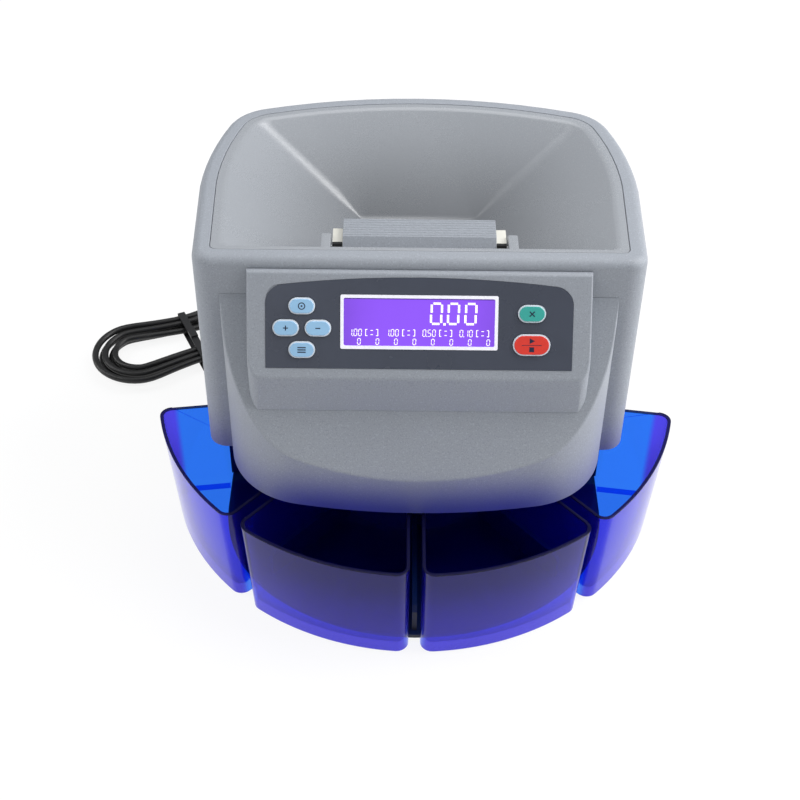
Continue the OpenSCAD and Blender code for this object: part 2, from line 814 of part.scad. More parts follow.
module board_parts() {
    top = floor_z + 11.6;
    color([0.12, 0.12, 0.14]) on_fan() {
        for (x = [-90, -78, -66]) {
            translate([x, 90, top]) cylinder(r = 5, h = 16);
        }
        box(-90, -74, 71, 81, top, top + 2.4);
        box(-68, -60, 70, 78, top, top + 2);
        box(-56, -47, 72, 92, top, top + 15);
        box(-92, -48, 64, 69, top, top + 8);
    }
}

module transformer() {
    color([0.30, 0.28, 0.26]) on_fan() difference() {
        union() {
            box(50, 108, 58, 94, floor_z + 3, floor_z + 49);
            box(60, 98, 49, 100.5, floor_z + 12, floor_z + 40);
            box(42, 116, 68, 84, floor_z, floor_z + 3);
        }
        for (x = [46, 112]) {
            translate([x, 76, 0]) cylinder(r = 1.8, h = 20);
        }
    }
}

module switch_body() {
    color([0.07, 0.07, 0.07]) on_fan() translate([switch_x, rear_back, switch_z]) difference() {
        union() {
            box(-7.8, 7.8, 0, 2, -10.8, 10.8);
            box(-6.5, 6.5, -14, 1, -9.6, 9.6);
        }
        box(-5, 5, -9, 5, -8.4, 8.4);
        translate([0, -3, 0]) rotate([0, 90, 0]) cylinder(r = rocker_pin_r + fit, h = 12.4, center = true);
    }
}

module switch_rocker() {
    // Pivots inside the body; drawn tipped to its off side
    color([0.10, 0.10, 0.10]) on_fan() translate([switch_x, rear_back - 3, switch_z]) rotate([-8, 0, 0]) {
        along_x(9.4) polygon([
            [-2.4, -1.5], [1, -7.4], [5.6, -7.6], [4.1, 0], [5.6, 7.6], [1, 7.4], [-2.4, 1.5]
        ]);
        rotate([0, 90, 0]) cylinder(r = rocker_pin_r, h = 12, center = true);
    }
}

// Coin trays

// Arc of a tray's round corner, from its side wall to its outer wall.
function tray_turn(outer_r) = tray_angle / 2 - asin((tray_gap / 2 + tray_corner) / (outer_r - tray_corner));
function tray_arc(outer_r, inset) = [
    for (i = [0 : 6])
        let (turn = tray_turn(outer_r))
        let (a = (tray_angle / 2 + 90) * (1 - i / 6) + turn * i / 6)
        (outer_r - tray_corner) * [cos(turn), sin(turn)] + (tray_corner - inset) * [cos(a), sin(a)]
];

// Plan of a tray, drawn along +X: a round outer wall with round corners, straight sides and inner end.
module tray_plan(outer_r, inset) {
    half = tray_angle / 2;
    turn = tray_turn(outer_r);
    arc = tray_arc(outer_r, inset);
    in_x = tray_in + inset;
    in_y = in_x * tan(half) - (tray_gap / 2 + inset) / cos(half);
    polygon(concat(
        [[in_x, -in_y]],
        [for (p = arc) [p[0], -p[1]]],
        [for (i = [-9 : 9]) (outer_r - inset) * [cos(turn * i / 10), sin(turn * i / 10)]],
        [for (i = [6 : -1 : 0]) arc[i]],
        [[in_x, in_y]]
    ));
}

// Leaning body between two heights; the outer wall leans out as it rises.
module tray_body(z0, z1, inset) {
    lean = tray_draft / tray_rim_z;
    hull() {
        translate([0, 0, z0]) linear_extrude(0.01) tray_plan(fan_r - (tray_rim_z - z0) * lean, inset);
        translate([0, 0, z1 - 0.01]) linear_extrude(0.01) tray_plan(fan_r - (tray_rim_z - z1) * lean, inset);
    }
}

module coin_tray(i) {
    tray_floor = floor_z + 0.5;
    low_end = 55;
    color(tray_blue) on_fan() difference() {
        at_angle(tray_angles[i]) difference() {
            tray_body(1, tray_rim_z, 0);
            tray_body(tray_floor + tray_wall, tray_rim_z + 1, tray_wall);
            tray_body(-1, tray_floor, tray_wall);
            // Low inner end, which passes under the coin chute
            along_y(200) polygon([
                [tray_in - 5, low_end], [tray_in + 8, low_end], [tray_in + 30, tray_rim_z + 1],
                [tray_in - 5, tray_rim_z + 1]
            ]);
        }
        // Room for the base pan under the floor
        translate([0, 0, -1]) linear_extrude(tray_floor + 0.8) pan_plan(1.2);
    }
}

// Mains cord

hank_at = [-180, 139, 0];
hank_turn = 25;
hank_loops = 4;
hank_low = 3.9;
hank_layer = 5.9;
hank_out_r = hank_fold_r + hank_pitch * hank_loops / 2;
hank_waist = 0.21;
tie_t = 0.8;

function unit(v) = v / norm(v);

// One loop has 24 steps: 4 along each run and 8 round each fold.
function fold_angle(j) = j < 4 ? 90 : j < 12 ? 90 + 180 * (j - 4) / 8 : j < 16 ? 270 : 270 + 180 * (j - 16) / 8;
function run_x(j) = j < 4 ? hank_run * (1 - j / 2) : j < 12 ? -hank_run : j < 16 ? hank_run * ((j - 12) / 2 - 1) : hank_run;

// The spiral goes in on the lower layer, climbs along a run and goes out on the upper layer.
function hank_r(q) = hank_fold_r + hank_pitch * abs(q - hank_loops / 2);
function hank_z(q) = hank_low + hank_layer * max(0, min(1, (q - hank_loops / 2) * 6));
function waist(x) = 1 - hank_waist * (1 + cos(180 * min(1, abs(x) / (hank_run + 10)))) / 2;
function hank_local(i) =
    let (j = i % 24)
    let (q = i / 24)
    let (x = run_x(j) + hank_r(q) * cos(fold_angle(j)))
    [x, hank_r(q) * sin(fold_angle(j)) * waist(x), hank_z(q)];
function turned(p) = [
    p[0] * cos(hank_turn) - p[1] * sin(hank_turn), p[0] * sin(hank_turn) + p[1] * cos(hank_turn), p[2]
] + hank_at;
hank_path = [for (i = [0 : 24 * hank_loops + 16]) turned(hank_local(i))];
hank_gap = min([
    for (i = [0 : len(hank_path) - 1], k = [i + 6 : 1 : len(hank_path) - 1]) norm(hank_path[i] - hank_path[k])
]) - cord_d;
echo(hank_gap = hank_gap);

// Smooth route through hand-chosen points, four steps to a stretch.
function between(p, i, t) =
    let (a = p[max(i - 1, 0)])
    let (b = p[i])
    let (c = p[i + 1])
    let (d = p[min(i + 2, len(p) - 1)])
    b + t * (c - a) / 2 + t * t * (2 * a - 5 * b + 4 * c - d) / 2 + t * t * t * (3 * b - a - 3 * c + d) / 2;
function smooth(p) = concat(
    [for (i = [0 : len(p) - 2], t = [0 : 0.25 : 0.75]) between(p, i, t)], [p[len(p) - 1]]
);

hank_first = hank_path[0];
hank_into = unit(hank_path[1] - hank_path[0]);
hank_last = hank_path[len(hank_path) - 1];
hank_onward = unit(hank_last - hank_path[len(hank_path) - 2]);

// Route of the lead from the gland to the hank
lead_points = concat(
    [[-70, 130, 30], [-70, 136, 30], [-70, 152, 26], [-74, 171, 14], [-84, 190, 6], [-100, 201, 4], [-119, 200, 3.9]],
    [hank_first - 3 * cord_d * hank_into, hank_first - cord_d * hank_into, hank_first]
);

// Route of the tail from the hank to the plug
plug_at = [-99, 133, 8.4];
plug_turn = 12;
plug_along = [cos(plug_turn), sin(plug_turn), 0];
tail_points = concat(
    [hank_last + 0.25 * hank_onward, hank_last + cord_d * hank_onward],
    [plug_at - 2 * cord_d * plug_along, plug_at - cord_d * plug_along, plug_at - 0.2 * plug_along]
);

module tube(p, sides) {
    last = len(p) - 1;
    rings = [
        for (i = [0 : last])
            let (along = unit(p[min(i + 1, last)] - p[max(i - 1, 0)]))
            let (across = unit(cross([0, 0, 1], along)))
            let (up = cross(along, across))
            for (k = [0 : sides - 1])
                p[i] + cord_d / 2 * (across * cos(360 * k / sides) + up * sin(360 * k / sides))
    ];
    walls = [
        for (i = [0 : last - 1], k = [0 : sides - 1])
            let (n = (k + 1) % sides)
            [i * sides + k, (i + 1) * sides + k, (i + 1) * sides + n, i * sides + n]
    ];
    caps = [[for (k = [0 : sides - 1]) k], [for (k = [sides - 1 : -1 : 0]) last * sides + k]];
    polyhedron(rings, concat(walls, caps));
}

module cord_gland() {
    color([0.06, 0.06, 0.06]) on_fan() translate([gland_x, rear_back, gland_z]) rotate([-90, 0, 0]) {
        translate([0, 0, -6]) cylinder(r = 6, h = 7);
        translate([0, 0, -6]) cylinder(r = 7.2, h = 3);
        cylinder(r = 9, h = 2.5);
        translate([0, 0, 2]) cylinder(r1 = 5.4, r2 = 3.8, h = gland_out - 2);
        for (i = [0 : 3]) {
            translate([0, 0, 4 + i * 2.4]) cylinder(r = 5 - i * 0.3, h = 1.2);
        }
    }
}

module cord_lead() {
    color([0.06, 0.06, 0.06]) on_fan() tube(smooth(lead_points), 8);
}

module cord_hank() {
    color([0.06, 0.06, 0.06]) on_fan() tube(hank_path, 6);
}

module cord_tie() {
    back = hank_out_r * (1 - hank_waist) + cord_d / 2 + 0.5;
    front = back + 0.6 * hank_pitch * (1 - hank_waist);
    top = hank_low + hank_layer + cord_d / 2 + 0.4;
    color([0.10, 0.10, 0.10]) on_fan() translate(hank_at) rotate([0, 0, hank_turn]) {
        difference() {
            box(-3, 3, -front - tie_t, back + tie_t, 0.2, top + tie_t);
            box(-4, 4, -front, back, 0.2 + tie_t, top);
        }
        box(-3, 3, -6, 6, top + 0.2, top + 2.6);
    }
}

module cord_tail() {
    color([0.06, 0.06, 0.06]) on_fan() tube(smooth(tail_points), 8);
}

module plug_body() {
    color([0.06, 0.06, 0.06]) on_fan() translate(plug_at) rotate([0, 0, plug_turn]) {
        rotate([0, 90, 0]) cylinder(r1 = 3.6, r2 = 5.2, h = 12);
        for (i = [0 : 2]) {
            translate([1.5 + i * 3, 0, 0]) rotate([0, 90, 0]) cylinder(r = 4.8, h = 1.4);
        }
        difference() {
            intersection() {
                translate([0, 0, -7.5]) linear_extrude(15) polygon([
                    [10, -6], [16, -10], [22, -12], [38, -12], [40, -10],
                    [40, 10], [38, 12], [22, 12], [16, 10], [10, 6]
                ]);
                along_y(40) polygon([
                    [10, -5], [20, -7.5], [38, -7.5], [40, -6], [40, 6], [38, 7.5], [20, 7.5], [10, 5]
                ]);
            }
            blades();
        }
    }
}

module blades() {
    for (y = [-6.35, 6.35]) {
        box(34, 56, y - 0.75, y + 0.75, -3.1, 3.1);
    }
}

module plug_pins() {
    color(steel) on_fan() translate(plug_at) rotate([0, 0, plug_turn]) blades();
}

base_pan();
rubber_feet();
tray_rails();
gear_case();
rear_base();
upper_housing();
front_apron();
console();
hopper();
panel_overlay();
lcd_frame();
lcd_glass();
lcd_module();
key_board();
key_switches();
board_screws();
main_board();
board_parts();
transformer();
motor();
motor_plate();
shaft_bushes();
sorting_deck();
sorting_fence();
deck_screws();
base_screws();
coin_chute(0);  // coin_chute_1
coin_chute(1);  // coin_chute_2
coin_chute(2);  // coin_chute_3
coin_chute(3);  // coin_chute_4
coin_sensor(0);  // coin_sensor_1
coin_sensor(1);  // coin_sensor_2
coin_sensor(2);  // coin_sensor_3
coin_sensor(3);  // coin_sensor_4
switch_body();
switch_rocker();
guard_pin();
guard_carrier();
guard_grip();
sorting_disc();
disc_shaft();
drive_gear();
motor_pinion();
coin_tray(0);  // coin_tray_1
coin_tray(1);  // coin_tray_2
coin_tray(2);  // coin_tray_3
coin_tray(3);  // coin_tray_4
key(key_preset_at, [0.62, 0.80, 0.95]);  // key_preset
key(key_plus_at, [0.62, 0.80, 0.95]);  // key_plus
key(key_minus_at, [0.62, 0.80, 0.95]);  // key_minus
key(key_batch_at, [0.62, 0.80, 0.95]);  // key_batch
key(key_clear_at, [0.20, 0.68, 0.62]);  // key_clear
key(key_start_at, [0.92, 0.22, 0.18]);  // key_start_stop
cord_gland();
cord_lead();
cord_hank();
cord_tie();
cord_tail();
plug_body();
plug_pins();
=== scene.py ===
"""Dresses a counter-top coin sorter: finishes, rounded mouldings, display, signs and mains cord."""

import itertools
import logging
import math
from dataclasses import dataclass, field, replace
from enum import Enum
from typing import Any, Callable, Optional, Sequence, Union

import bmesh
import bpy
from mathutils import Matrix, Vector


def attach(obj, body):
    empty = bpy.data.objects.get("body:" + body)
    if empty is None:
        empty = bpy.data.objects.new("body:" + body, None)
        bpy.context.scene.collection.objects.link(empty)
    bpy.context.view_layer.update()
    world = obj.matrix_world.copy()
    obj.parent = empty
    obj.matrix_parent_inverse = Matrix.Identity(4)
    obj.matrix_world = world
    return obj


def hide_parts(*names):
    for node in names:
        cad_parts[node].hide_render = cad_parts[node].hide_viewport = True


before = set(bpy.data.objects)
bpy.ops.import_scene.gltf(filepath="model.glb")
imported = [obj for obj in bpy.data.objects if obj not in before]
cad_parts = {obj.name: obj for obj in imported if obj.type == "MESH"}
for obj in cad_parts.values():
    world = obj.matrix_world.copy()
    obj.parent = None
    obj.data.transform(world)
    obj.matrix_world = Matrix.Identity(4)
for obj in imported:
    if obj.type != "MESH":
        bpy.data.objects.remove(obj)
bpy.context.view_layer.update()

log = logging.getLogger("coin_sorter")

Colour = tuple[float, float, float, float]
Value = Union["Wire", float, Sequence[float]]

Chosen = Callable[[Vector, Vector], bool]

# Sizes are in millimetres, and in metres where they are multiplied by MM
MM = 0.001
# The trays fan out round an upright axis this far behind the origin
FAN = 25.5
FAN_Y = FAN * MM
CHASSIS = "chassis"
WHITE: Colour = (1.0, 1.0, 1.0, 1.0)


def srgb(red: int, green: int, blue: int) -> Colour:
    """Turns a screen colour of 0 to 255 into Blender's linear colour.

    Args:
        red: Red on the screen.
        green: Green on the screen.
        blue: Blue on the screen.

    Returns:
        The linear colour, opaque.
    """
    def linear(level: int) -> float:
        """Gives one channel's linear value."""
        share = level / 255
        return share / 12.92 if share <= 0.04045 else ((share + 0.055) / 1.055) ** 2.4

    return (linear(red), linear(green), linear(blue), 1.0)


def shade(colour: Colour, share: float, lift: float = 0.0) -> Colour:
    """Gives a colour scaled by a share and lifted, opaque."""
    red, green, blue = (min(1.0, channel * share + lift) for channel in colour[:3])
    return (red, green, blue, 1.0)


class Wire:
    """A shader socket that takes part in Python arithmetic."""

    def __init__(self, graph: "Graph", socket: Optional[bpy.types.NodeSocket]) -> None:
        """Keeps the graph that owns the socket; an output node has none."""
        self.graph = graph
        self.socket = socket

    def _math(self, operation: str, *values: Value) -> "Wire":
        """Adds one Math node on the given values."""
        return self.graph.node("ShaderNodeMath", {"operation": operation}, dict(enumerate(values)))

    def __add__(self, other: Value) -> "Wire":
        """Adds."""
        return self._math("ADD", self, other)

    def __radd__(self, other: Value) -> "Wire":
        """Adds to a plain number."""
        return self._math("ADD", other, self)

    def __sub__(self, other: Value) -> "Wire":
        """Subtracts."""
        return self._math("SUBTRACT", self, other)

    def __rsub__(self, other: Value) -> "Wire":
        """Subtracts from a plain number."""
        return self._math("SUBTRACT", other, self)

    def __mul__(self, other: Value) -> "Wire":
        """Multiplies."""
        return self._math("MULTIPLY", self, other)

    def __rmul__(self, other: Value) -> "Wire":
        """Multiplies a plain number."""
        return self._math("MULTIPLY", other, self)

    def __truediv__(self, other: Value) -> "Wire":
        """Divides."""
        return self._math("DIVIDE", self, other)

    def __rtruediv__(self, other: Value) -> "Wire":
        """Divides a plain number."""
        return self._math("DIVIDE", other, self)

    def __pow__(self, other: Value) -> "Wire":
        """Raises to a power."""
        return self._math("POWER", self, other)

    def smooth(self, low: float, high: float) -> "Wire":
        """Goes smoothly from 0 at low to 1 at high.

        Args:
            low: Value that gives 0.
            high: Value that gives 1.

        Returns:
            The eased value.
        """
        return self.graph.node(
            "ShaderNodeMapRange", {"interpolation_type": "SMOOTHSTEP"}, {"Value": self, 1: low, 2: high}
        )


class Graph:
    """The node tree of one material, and the one way to add nodes to it."""

    def __init__(self, tree: bpy.types.NodeTree) -> None:
        """Starts from an empty tree."""
        self.tree = tree
        self.tree.nodes.clear()

    def node(
        self,
        kind: str,
        settings: Optional[dict[str, Any]] = None,
        inputs: Optional[dict[Union[str, int], Value]] = None,
        output: Union[str, int] = 0,
    ) -> Wire:
        """Adds one node.

        Args:
            kind: Blender's name of the node type.
            settings: Its properties, set before its sockets; "stops" are a ramp's places and colours.
            inputs: Values or wires of its input sockets, by name or number.
            output: The output socket that is wanted.

        Returns:
            The wire of that output.
        """
        made = self.tree.nodes.new(kind)
        for key, value in (settings or {}).items():
            if key == "stops":
                for _ in range(len(value) - 2):
                    made.color_ramp.elements.new(0.5)
                for stop, (place, colour) in zip(made.color_ramp.elements, value):
                    stop.position, stop.color = place, colour
            else:
                setattr(made, key, value)
        for key, value in (inputs or {}).items():
            if isinstance(value, Wire):
                self.tree.links.new(value.socket, made.inputs[key])
            else:
                made.inputs[key].default_value = value
        return Wire(self, made.outputs[output] if len(made.outputs) else None)

    def place(self) -> Wire:
        """Gives the point on the piece, in metres."""
        return self.node("ShaderNodeTexCoord", output="Object")

    def axis(self, name: str) -> Wire:
        """Gives one coordinate of the point on the piece: X, Y or Z."""
        return self.node("ShaderNodeSeparateXYZ", {}, {0: self.place()}, name)

    def noise(self, scale: float, detail: float = 3.0, stretch: Sequence[float] = (1, 1, 1)) -> Wire:
        """Gives a soft random pattern.

        Args:
            scale: Features per metre.
            detail: Finer layers added.
            stretch: Scale along X, Y and Z, for streaks.

        Returns:
            A value round 0.5.
        """
        point = self.node("ShaderNodeMapping", {}, {"Vector": self.place(), "Scale": stretch})
        return self.node("ShaderNodeTexNoise", {}, {"Vector": point, "Scale": scale, "Detail": detail})

    def mix(self, share: Value, first: Value, second: Value) -> Wire:
        """Mixes two colours by a share of the second."""
        return self.node("ShaderNodeMix", {"data_type": "RGBA"}, {0: share, 6: first, 7: second}, 2)

    def bump(self, height: Wire, depth: float, strength: float = 1.0) -> Wire:
        """Gives the normal of a relief whose depth is in metres."""
        return self.node("ShaderNodeBump", {}, {"Height": height, "Distance": depth, "Strength": strength})

    def edges(self, radius: float) -> Wire:
        """Marks the narrow zone along sharp edges.

        Args:
            radius: How far the zone reaches from an edge, in metres.

        Returns:
            1 on the edges, 0 on open faces.
        """
        eased = self.node("ShaderNodeBevel", {"samples": 4}, {"Radius": radius})
        plain = self.node("ShaderNodeNewGeometry", output="Normal")
        match = self.node("ShaderNodeVectorMath", {"operation": "DOT_PRODUCT"}, {0: eased, 1: plain}, "Value")
        return (1 - match).smooth(0.02, 0.25)

    def shader(self, **inputs: Value) -> Wire:
        """Adds the main shader with the given sockets; underscores stand for spaces."""
        return self.node("ShaderNodeBsdfPrincipled", {}, {k.replace("_", " "): v for k, v in inputs.items()})


@dataclass(frozen=True)
class Finish:
    """A surface finish that becomes one material."""

    name: str
    slot: str

    def surface(self, g: Graph) -> Wire:
        """Gives the shader of this finish."""
        raise NotImplementedError

    def material(self) -> bpy.types.Material:
        """Makes the material once, and gives it each time.

        Returns:
            The material of this finish.
        """
        name = "finish_" + self.name
        made = bpy.data.materials.get(name)
        if made is None:
            made = bpy.data.materials.new(name)
            made.use_nodes = True
            g = Graph(made.node_tree)
            g.node("ShaderNodeOutputMaterial", {}, {"Surface": self.surface(g)})
        return made


@dataclass(frozen=True)
class SparkPlastic(Finish):
    """Moulded plastic with a fine spark-eroded grain."""

    colour: Colour = (0.3, 0.3, 0.3, 1.0)
    grain: float = 1700.0
    depth: float = 0.00007
    rough: float = 0.5
    speckle: float = 0.1
    # Lighter sharp edges: partly wear, partly a painted highlight.
    edge_wear_and_highlight: float = 0.25
    # Painted blue light from the trays: its strength, its colour, and the heights, depths and half widths it
    # fades over.
    painted_tray_light: float = 0.0
    painted_tray_light_colour: Colour = (0.1, 0.1, 0.5, 1.0)
    painted_tray_light_height: tuple[float, float] = (122 * MM, 83 * MM)
    painted_tray_light_depth: tuple[float, float] = (60 * MM, -40 * MM)
    painted_tray_light_half_width: tuple[float, float] = (54.8 * MM, 111.8 * MM)
    # Painted shade that darkens the plastic further down: its share and the heights it runs between.
    painted_deep_shade: float = 0.0
    painted_deep_shade_height: tuple[float, float] = (240 * MM, 184 * MM)
    shine: float = 0.5

    def surface(self, g: Graph) -> Wire:
        """Gives grain, specks, handled patches, edges paled partly by wear and partly by a painted highlight,
        the trays' blue light painted low on the front, and painted shade further down.

        Args:
            g: The graph that it is drawn in.

        Returns:
            The shader.
        """
        grain = g.noise(self.grain, 2.0)
        specks = g.noise(self.grain * 0.6, 1.0).smooth(0.56, 0.72)
        pits = g.noise(self.grain * 0.8, 0.0).smooth(0.42, 0.28)
        patch = g.noise(14.0, 4.0)
        light = shade(self.colour, 1 + 1.6 * self.speckle, 0.01)
        dark = shade(self.colour, 1 - 1.3 * self.speckle)
        tone = g.mix(specks * 0.8, self.colour, light)
        tone = g.mix(pits * 0.75, tone, dark)
        tone = g.mix((patch - 0.5).smooth(0.0, 0.3) * 0.18, tone, dark)
        # Lighter along sharp edges: partly wear, partly a painted highlight.
        tone = g.mix(g.edges(0.0011) * self.edge_wear_and_highlight, tone, light)
        # Painted blue light from the trays: low on the front, weaker towards the sides.
        if self.painted_tray_light:
            across = g.axis("X")
            low = g.axis("Z").smooth(*self.painted_tray_light_height) * g.axis("Y").smooth(*self.painted_tray_light_depth)
            near, far = self.painted_tray_light_half_width
            low = low * (1 - (across * across).smooth(near * near, far * far) * 0.8)
            tone = g.mix(low * self.painted_tray_light, tone, self.painted_tray_light_colour)
        # Painted shade: darker further down, towards the funnel's throat; the patches make it uneven.
        if self.painted_deep_shade:
            deep = g.axis("Z").smooth(*self.painted_deep_shade_height)
            tone = g.mix(deep * self.painted_deep_shade * (patch * 0.4 + 0.8), tone, shade(self.colour, 0.45))
        rough = self.rough + (patch - 0.5) * 0.22 + (grain - 0.5) * 0.12
        return g.shader(
            Base_Color=tone, Roughness=rough, Specular_IOR_Level=self.shine,
            Normal=g.bump(grain, self.depth),
        )


@dataclass(frozen=True)
class SatinPlastic(Finish):
    """Smooth moulded or printed plastic, with faint handling marks."""

    colour: Colour = (0.5, 0.5, 0.5, 1.0)
    rough: float = 0.35
    coat: float = 0.0
    marks: float = 0.08

    def surface(self, g: Graph) -> Wire:
        """Gives slight clouding of colour and shine, with a little orange peel.

        Args:
            g: The graph that it is drawn in.

        Returns:
            The shader.
        """
        cloud = g.noise(38.0, 4.0)
        peel = g.noise(420.0, 2.0)
        deep = shade(self.colour, 1 - 2 * self.marks)
        tone = g.mix(cloud.smooth(0.35, 0.75), self.colour, deep)
        rough = self.rough + (cloud - 0.5) * 0.25
        return g.shader(
            Base_Color=tone, Roughness=rough, Coat_Weight=self.coat, Coat_Roughness=0.08,
            Normal=g.bump(peel, 0.00005, 0.5),
        )


@dataclass(frozen=True)
class TintedClear(Finish):
    """Clear plastic tinted through: painted shade on the tops of the rims, a slight haze and a gloss that grows
    towards grazing.
    """

    tint: Colour = (0.15, 0.4, 0.93, 1.0)
    body: Colour = (0.05, 0.04, 0.6, 1.0)
    outer: Colour = (0.3, 0.27, 0.94, 1.0)
    # Colour of the painted shade on the rims.
    painted_rim_shade: Colour = (0.004, 0.004, 0.03, 1.0)
    haze: float = 0.03
    foot: float = 0.26
    foot_height: tuple[float, float] = (75 * MM, 6 * MM)
    outer_wall: tuple[float, float] = (166 * MM, 171 * MM)
    rim: float = 81.9 * MM

    def surface(self, g: Graph) -> Wire:
        """Mixes tinted light from behind, the plastic's own colour, its shine and painted shade on the rim.

        Args:
            g: The graph that it is drawn in.

        Returns:
            The shader.
        """
        cloud = g.noise(24.0, 3.0)
        scuffs = g.noise(900.0, 2.0, (1.0, 1.0, 0.15)).smooth(0.62, 0.8)
        height = g.axis("Z")
        inner = g.node("ShaderNodeBsdfTransparent", {}, {"Color": self.tint})
        outer = g.node("ShaderNodeBsdfTransparent", {}, {"Color": self.outer})
        deep = shade(self.body, 0.7)
        tone = g.mix(cloud, deep, self.body)
        own = g.shader(Base_Color=tone, Roughness=0.3 + scuffs * 0.2, Specular_IOR_Level=0.0)
        # Near-black shader for the painted shade on the rims.
        edge = g.shader(Base_Color=self.painted_rim_shade, Roughness=0.3 + cloud * 0.1, Specular_IOR_Level=0.1)
        shine = g.node("ShaderNodeBsdfAnisotropic", {}, {"Color": WHITE, "Roughness": 0.07})
        facing = g.node("ShaderNodeLayerWeight", {}, {"Blend": 0.5}, "Facing")
        about_fan = {0: g.place(), 1: (1, 1, 0), 2: (0, -FAN_Y, 0)}
        flat = g.node("ShaderNodeVectorMath", {"operation": "MULTIPLY_ADD"}, about_fan)
        reach = g.node("ShaderNodeVectorMath", {"operation": "LENGTH"}, {0: flat}, "Value")
        outside = reach.smooth(*self.outer_wall)
        low = height.smooth(*self.foot_height) * self.foot
        milky = self.haze + outside * (0.03 + low) + scuffs * 0.01
        clear = g.node("ShaderNodeMixShader", {}, {0: outside, 1: inner, 2: outer})
        plain = g.node("ShaderNodeMixShader", {}, {0: milky, 1: clear, 2: own})
        gloss = g.node("ShaderNodeMixShader", {}, {0: 0.03 + facing ** 5.0 * 0.9, 1: plain, 2: shine})
        # Painted shade: the top of each rim is drawn nearly black, standing in for the darkness that refraction
        # gives there.
        dark = height.smooth(self.rim - 0.5 * MM, self.rim) * 0.9
        return g.node("ShaderNodeMixShader", {}, {0: dark, 1: gloss, 2: edge})


@dataclass(frozen=True)
class Backlit(Finish):
    """A lit display."""

    colour: Colour = (0.3, 0.1, 1.0, 1.0)
    glow: float = 1.0
    top: float = 218.75 * MM
    half_width: float = 55 * MM
    unlit: Colour = (0.02, 0.01, 0.05, 1.0)
    top_line: Colour = (0.05, 0.02, 0.16, 1.0)

    def surface(self, g: Graph) -> Wire:
        """Gives the display's light, with a soft hot spot and a dark line along its top.

        Args:
            g: The graph that it is drawn in.

        Returns:
            The shader.
        """
        across, height = g.axis("X"), g.axis("Z")
        spot = 1 - (across * across / (self.half_width * self.half_width)).smooth(0.0, 1.0) * 0.3
        bright = spot * (g.noise(60.0, 2.0) * 0.16 + 0.92)
        edge = shade(self.colour, 0.5)
        shine = g.mix(bright.smooth(0.4, 1.05), edge, self.colour)
        line = height.smooth(self.top, self.top + 0.2 * MM)
        shine = g.mix(line * 0.85, shine, self.top_line)
        return g.shader(
            Base_Color=self.unlit, Roughness=0.12, Emission_Color=shine, Emission_Strength=self.glow,
        )


@dataclass(frozen=True)
class Print(Finish):
    """Ink or lit segments: flat, with a faint unevenness."""

    colour: Colour = (0.9, 0.9, 0.9, 1.0)
    glow: float = 0.0

    def surface(self, g: Graph) -> Wire:
        """Gives slightly uneven ink, lit where it glows.

        Args:
            g: The graph that it is drawn in.

        Returns:
            The shader.
        """
        cloud = g.noise(700.0, 2.0)
        thin = shade(self.colour, 0.88)
        tone = g.mix(cloud.smooth(0.45, 0.8), self.colour, thin)
        rough = 0.4 + (cloud - 0.5) * 0.2
        return g.shader(Base_Color=tone, Roughness=rough, Emission_Color=tone, Emission_Strength=self.glow)


@dataclass(frozen=True)
class Metal(Finish):
    """Plated or turned metal with fine brushing."""

    colour: Colour = (0.6, 0.6, 0.62, 1.0)
    rough: float = 0.3
    brush: Sequence[float] = (1.0, 0.04, 1.0)

    def surface(self, g: Graph) -> Wire:
        """Gives streaks along the brushing and a few dull patches.

        Args:
            g: The graph that it is drawn in.

        Returns:
            The shader.
        """
        streak = g.noise(2400.0, 3.0, self.brush)
        dull = g.noise(45.0, 4.0)
        dark = shade(self.colour, 0.78)
        tone = g.mix(dull.smooth(0.4, 0.75), self.colour, dark)
        rough = self.rough + (streak - 0.5) * 0.25 + (dull - 0.5) * 0.2
        return g.shader(Base_Color=tone, Metallic=1.0, Roughness=rough, Normal=g.bump(streak, 0.00002, 0.5))


@dataclass(frozen=True)
class Rubber(Finish):
    """Soft matt rubber or cord jacket."""

    colour: Colour = (0.02, 0.02, 0.02, 1.0)
    rough: float = 0.6

    def surface(self, g: Graph) -> Wire:
        """Gives a matt skin with pale dust and fine pores.

        Args:
            g: The graph that it is drawn in.

        Returns:
            The shader.
        """
        pores = g.noise(1800.0, 2.0)
        dust = g.noise(32.0, 5.0).smooth(0.5, 0.8)
        pale = shade(self.colour, 1.0, 0.03)
        tone = g.mix(dust * 0.6, self.colour, pale)
        rough = self.rough + dust * 0.2
        return g.shader(Base_Color=tone, Roughness=rough, Normal=g.bump(pores, 0.00006, 0.6))


@dataclass(frozen=True)
class Board(Finish):
    """Circuit board: solder mask with copper tracks under it."""

    colour: Colour = (0.01, 0.12, 0.05, 1.0)

    def surface(self, g: Graph) -> Wire:
        """Gives tracks that show paler through the mask.

        Args:
            g: The graph that it is drawn in.

        Returns:
            The shader.
        """
        tracks = g.node(
            "ShaderNodeTexVoronoi", {"feature": "DISTANCE_TO_EDGE", "distance": "EUCLIDEAN"},
            {"Vector": g.place(), "Scale": 160.0},
        ).smooth(0.04, 0.02)
        pale = shade(self.colour, 2.2, 0.01)
        tone = g.mix(tracks * 0.7, self.colour, pale)
        return g.shader(Base_Color=tone, Roughness=0.3 + tracks * 0.1, Normal=g.bump(tracks, 0.00004))


# The body grey carries painted blue light from the trays low on the front.
BODY_GREY = SparkPlastic(
    "body_grey_spark", "body_grey", srgb(154, 159, 167), speckle=0.13, edge_wear_and_highlight=0.7, painted_tray_light=0.9,
    painted_tray_light_colour=srgb(62, 70, 136),
)
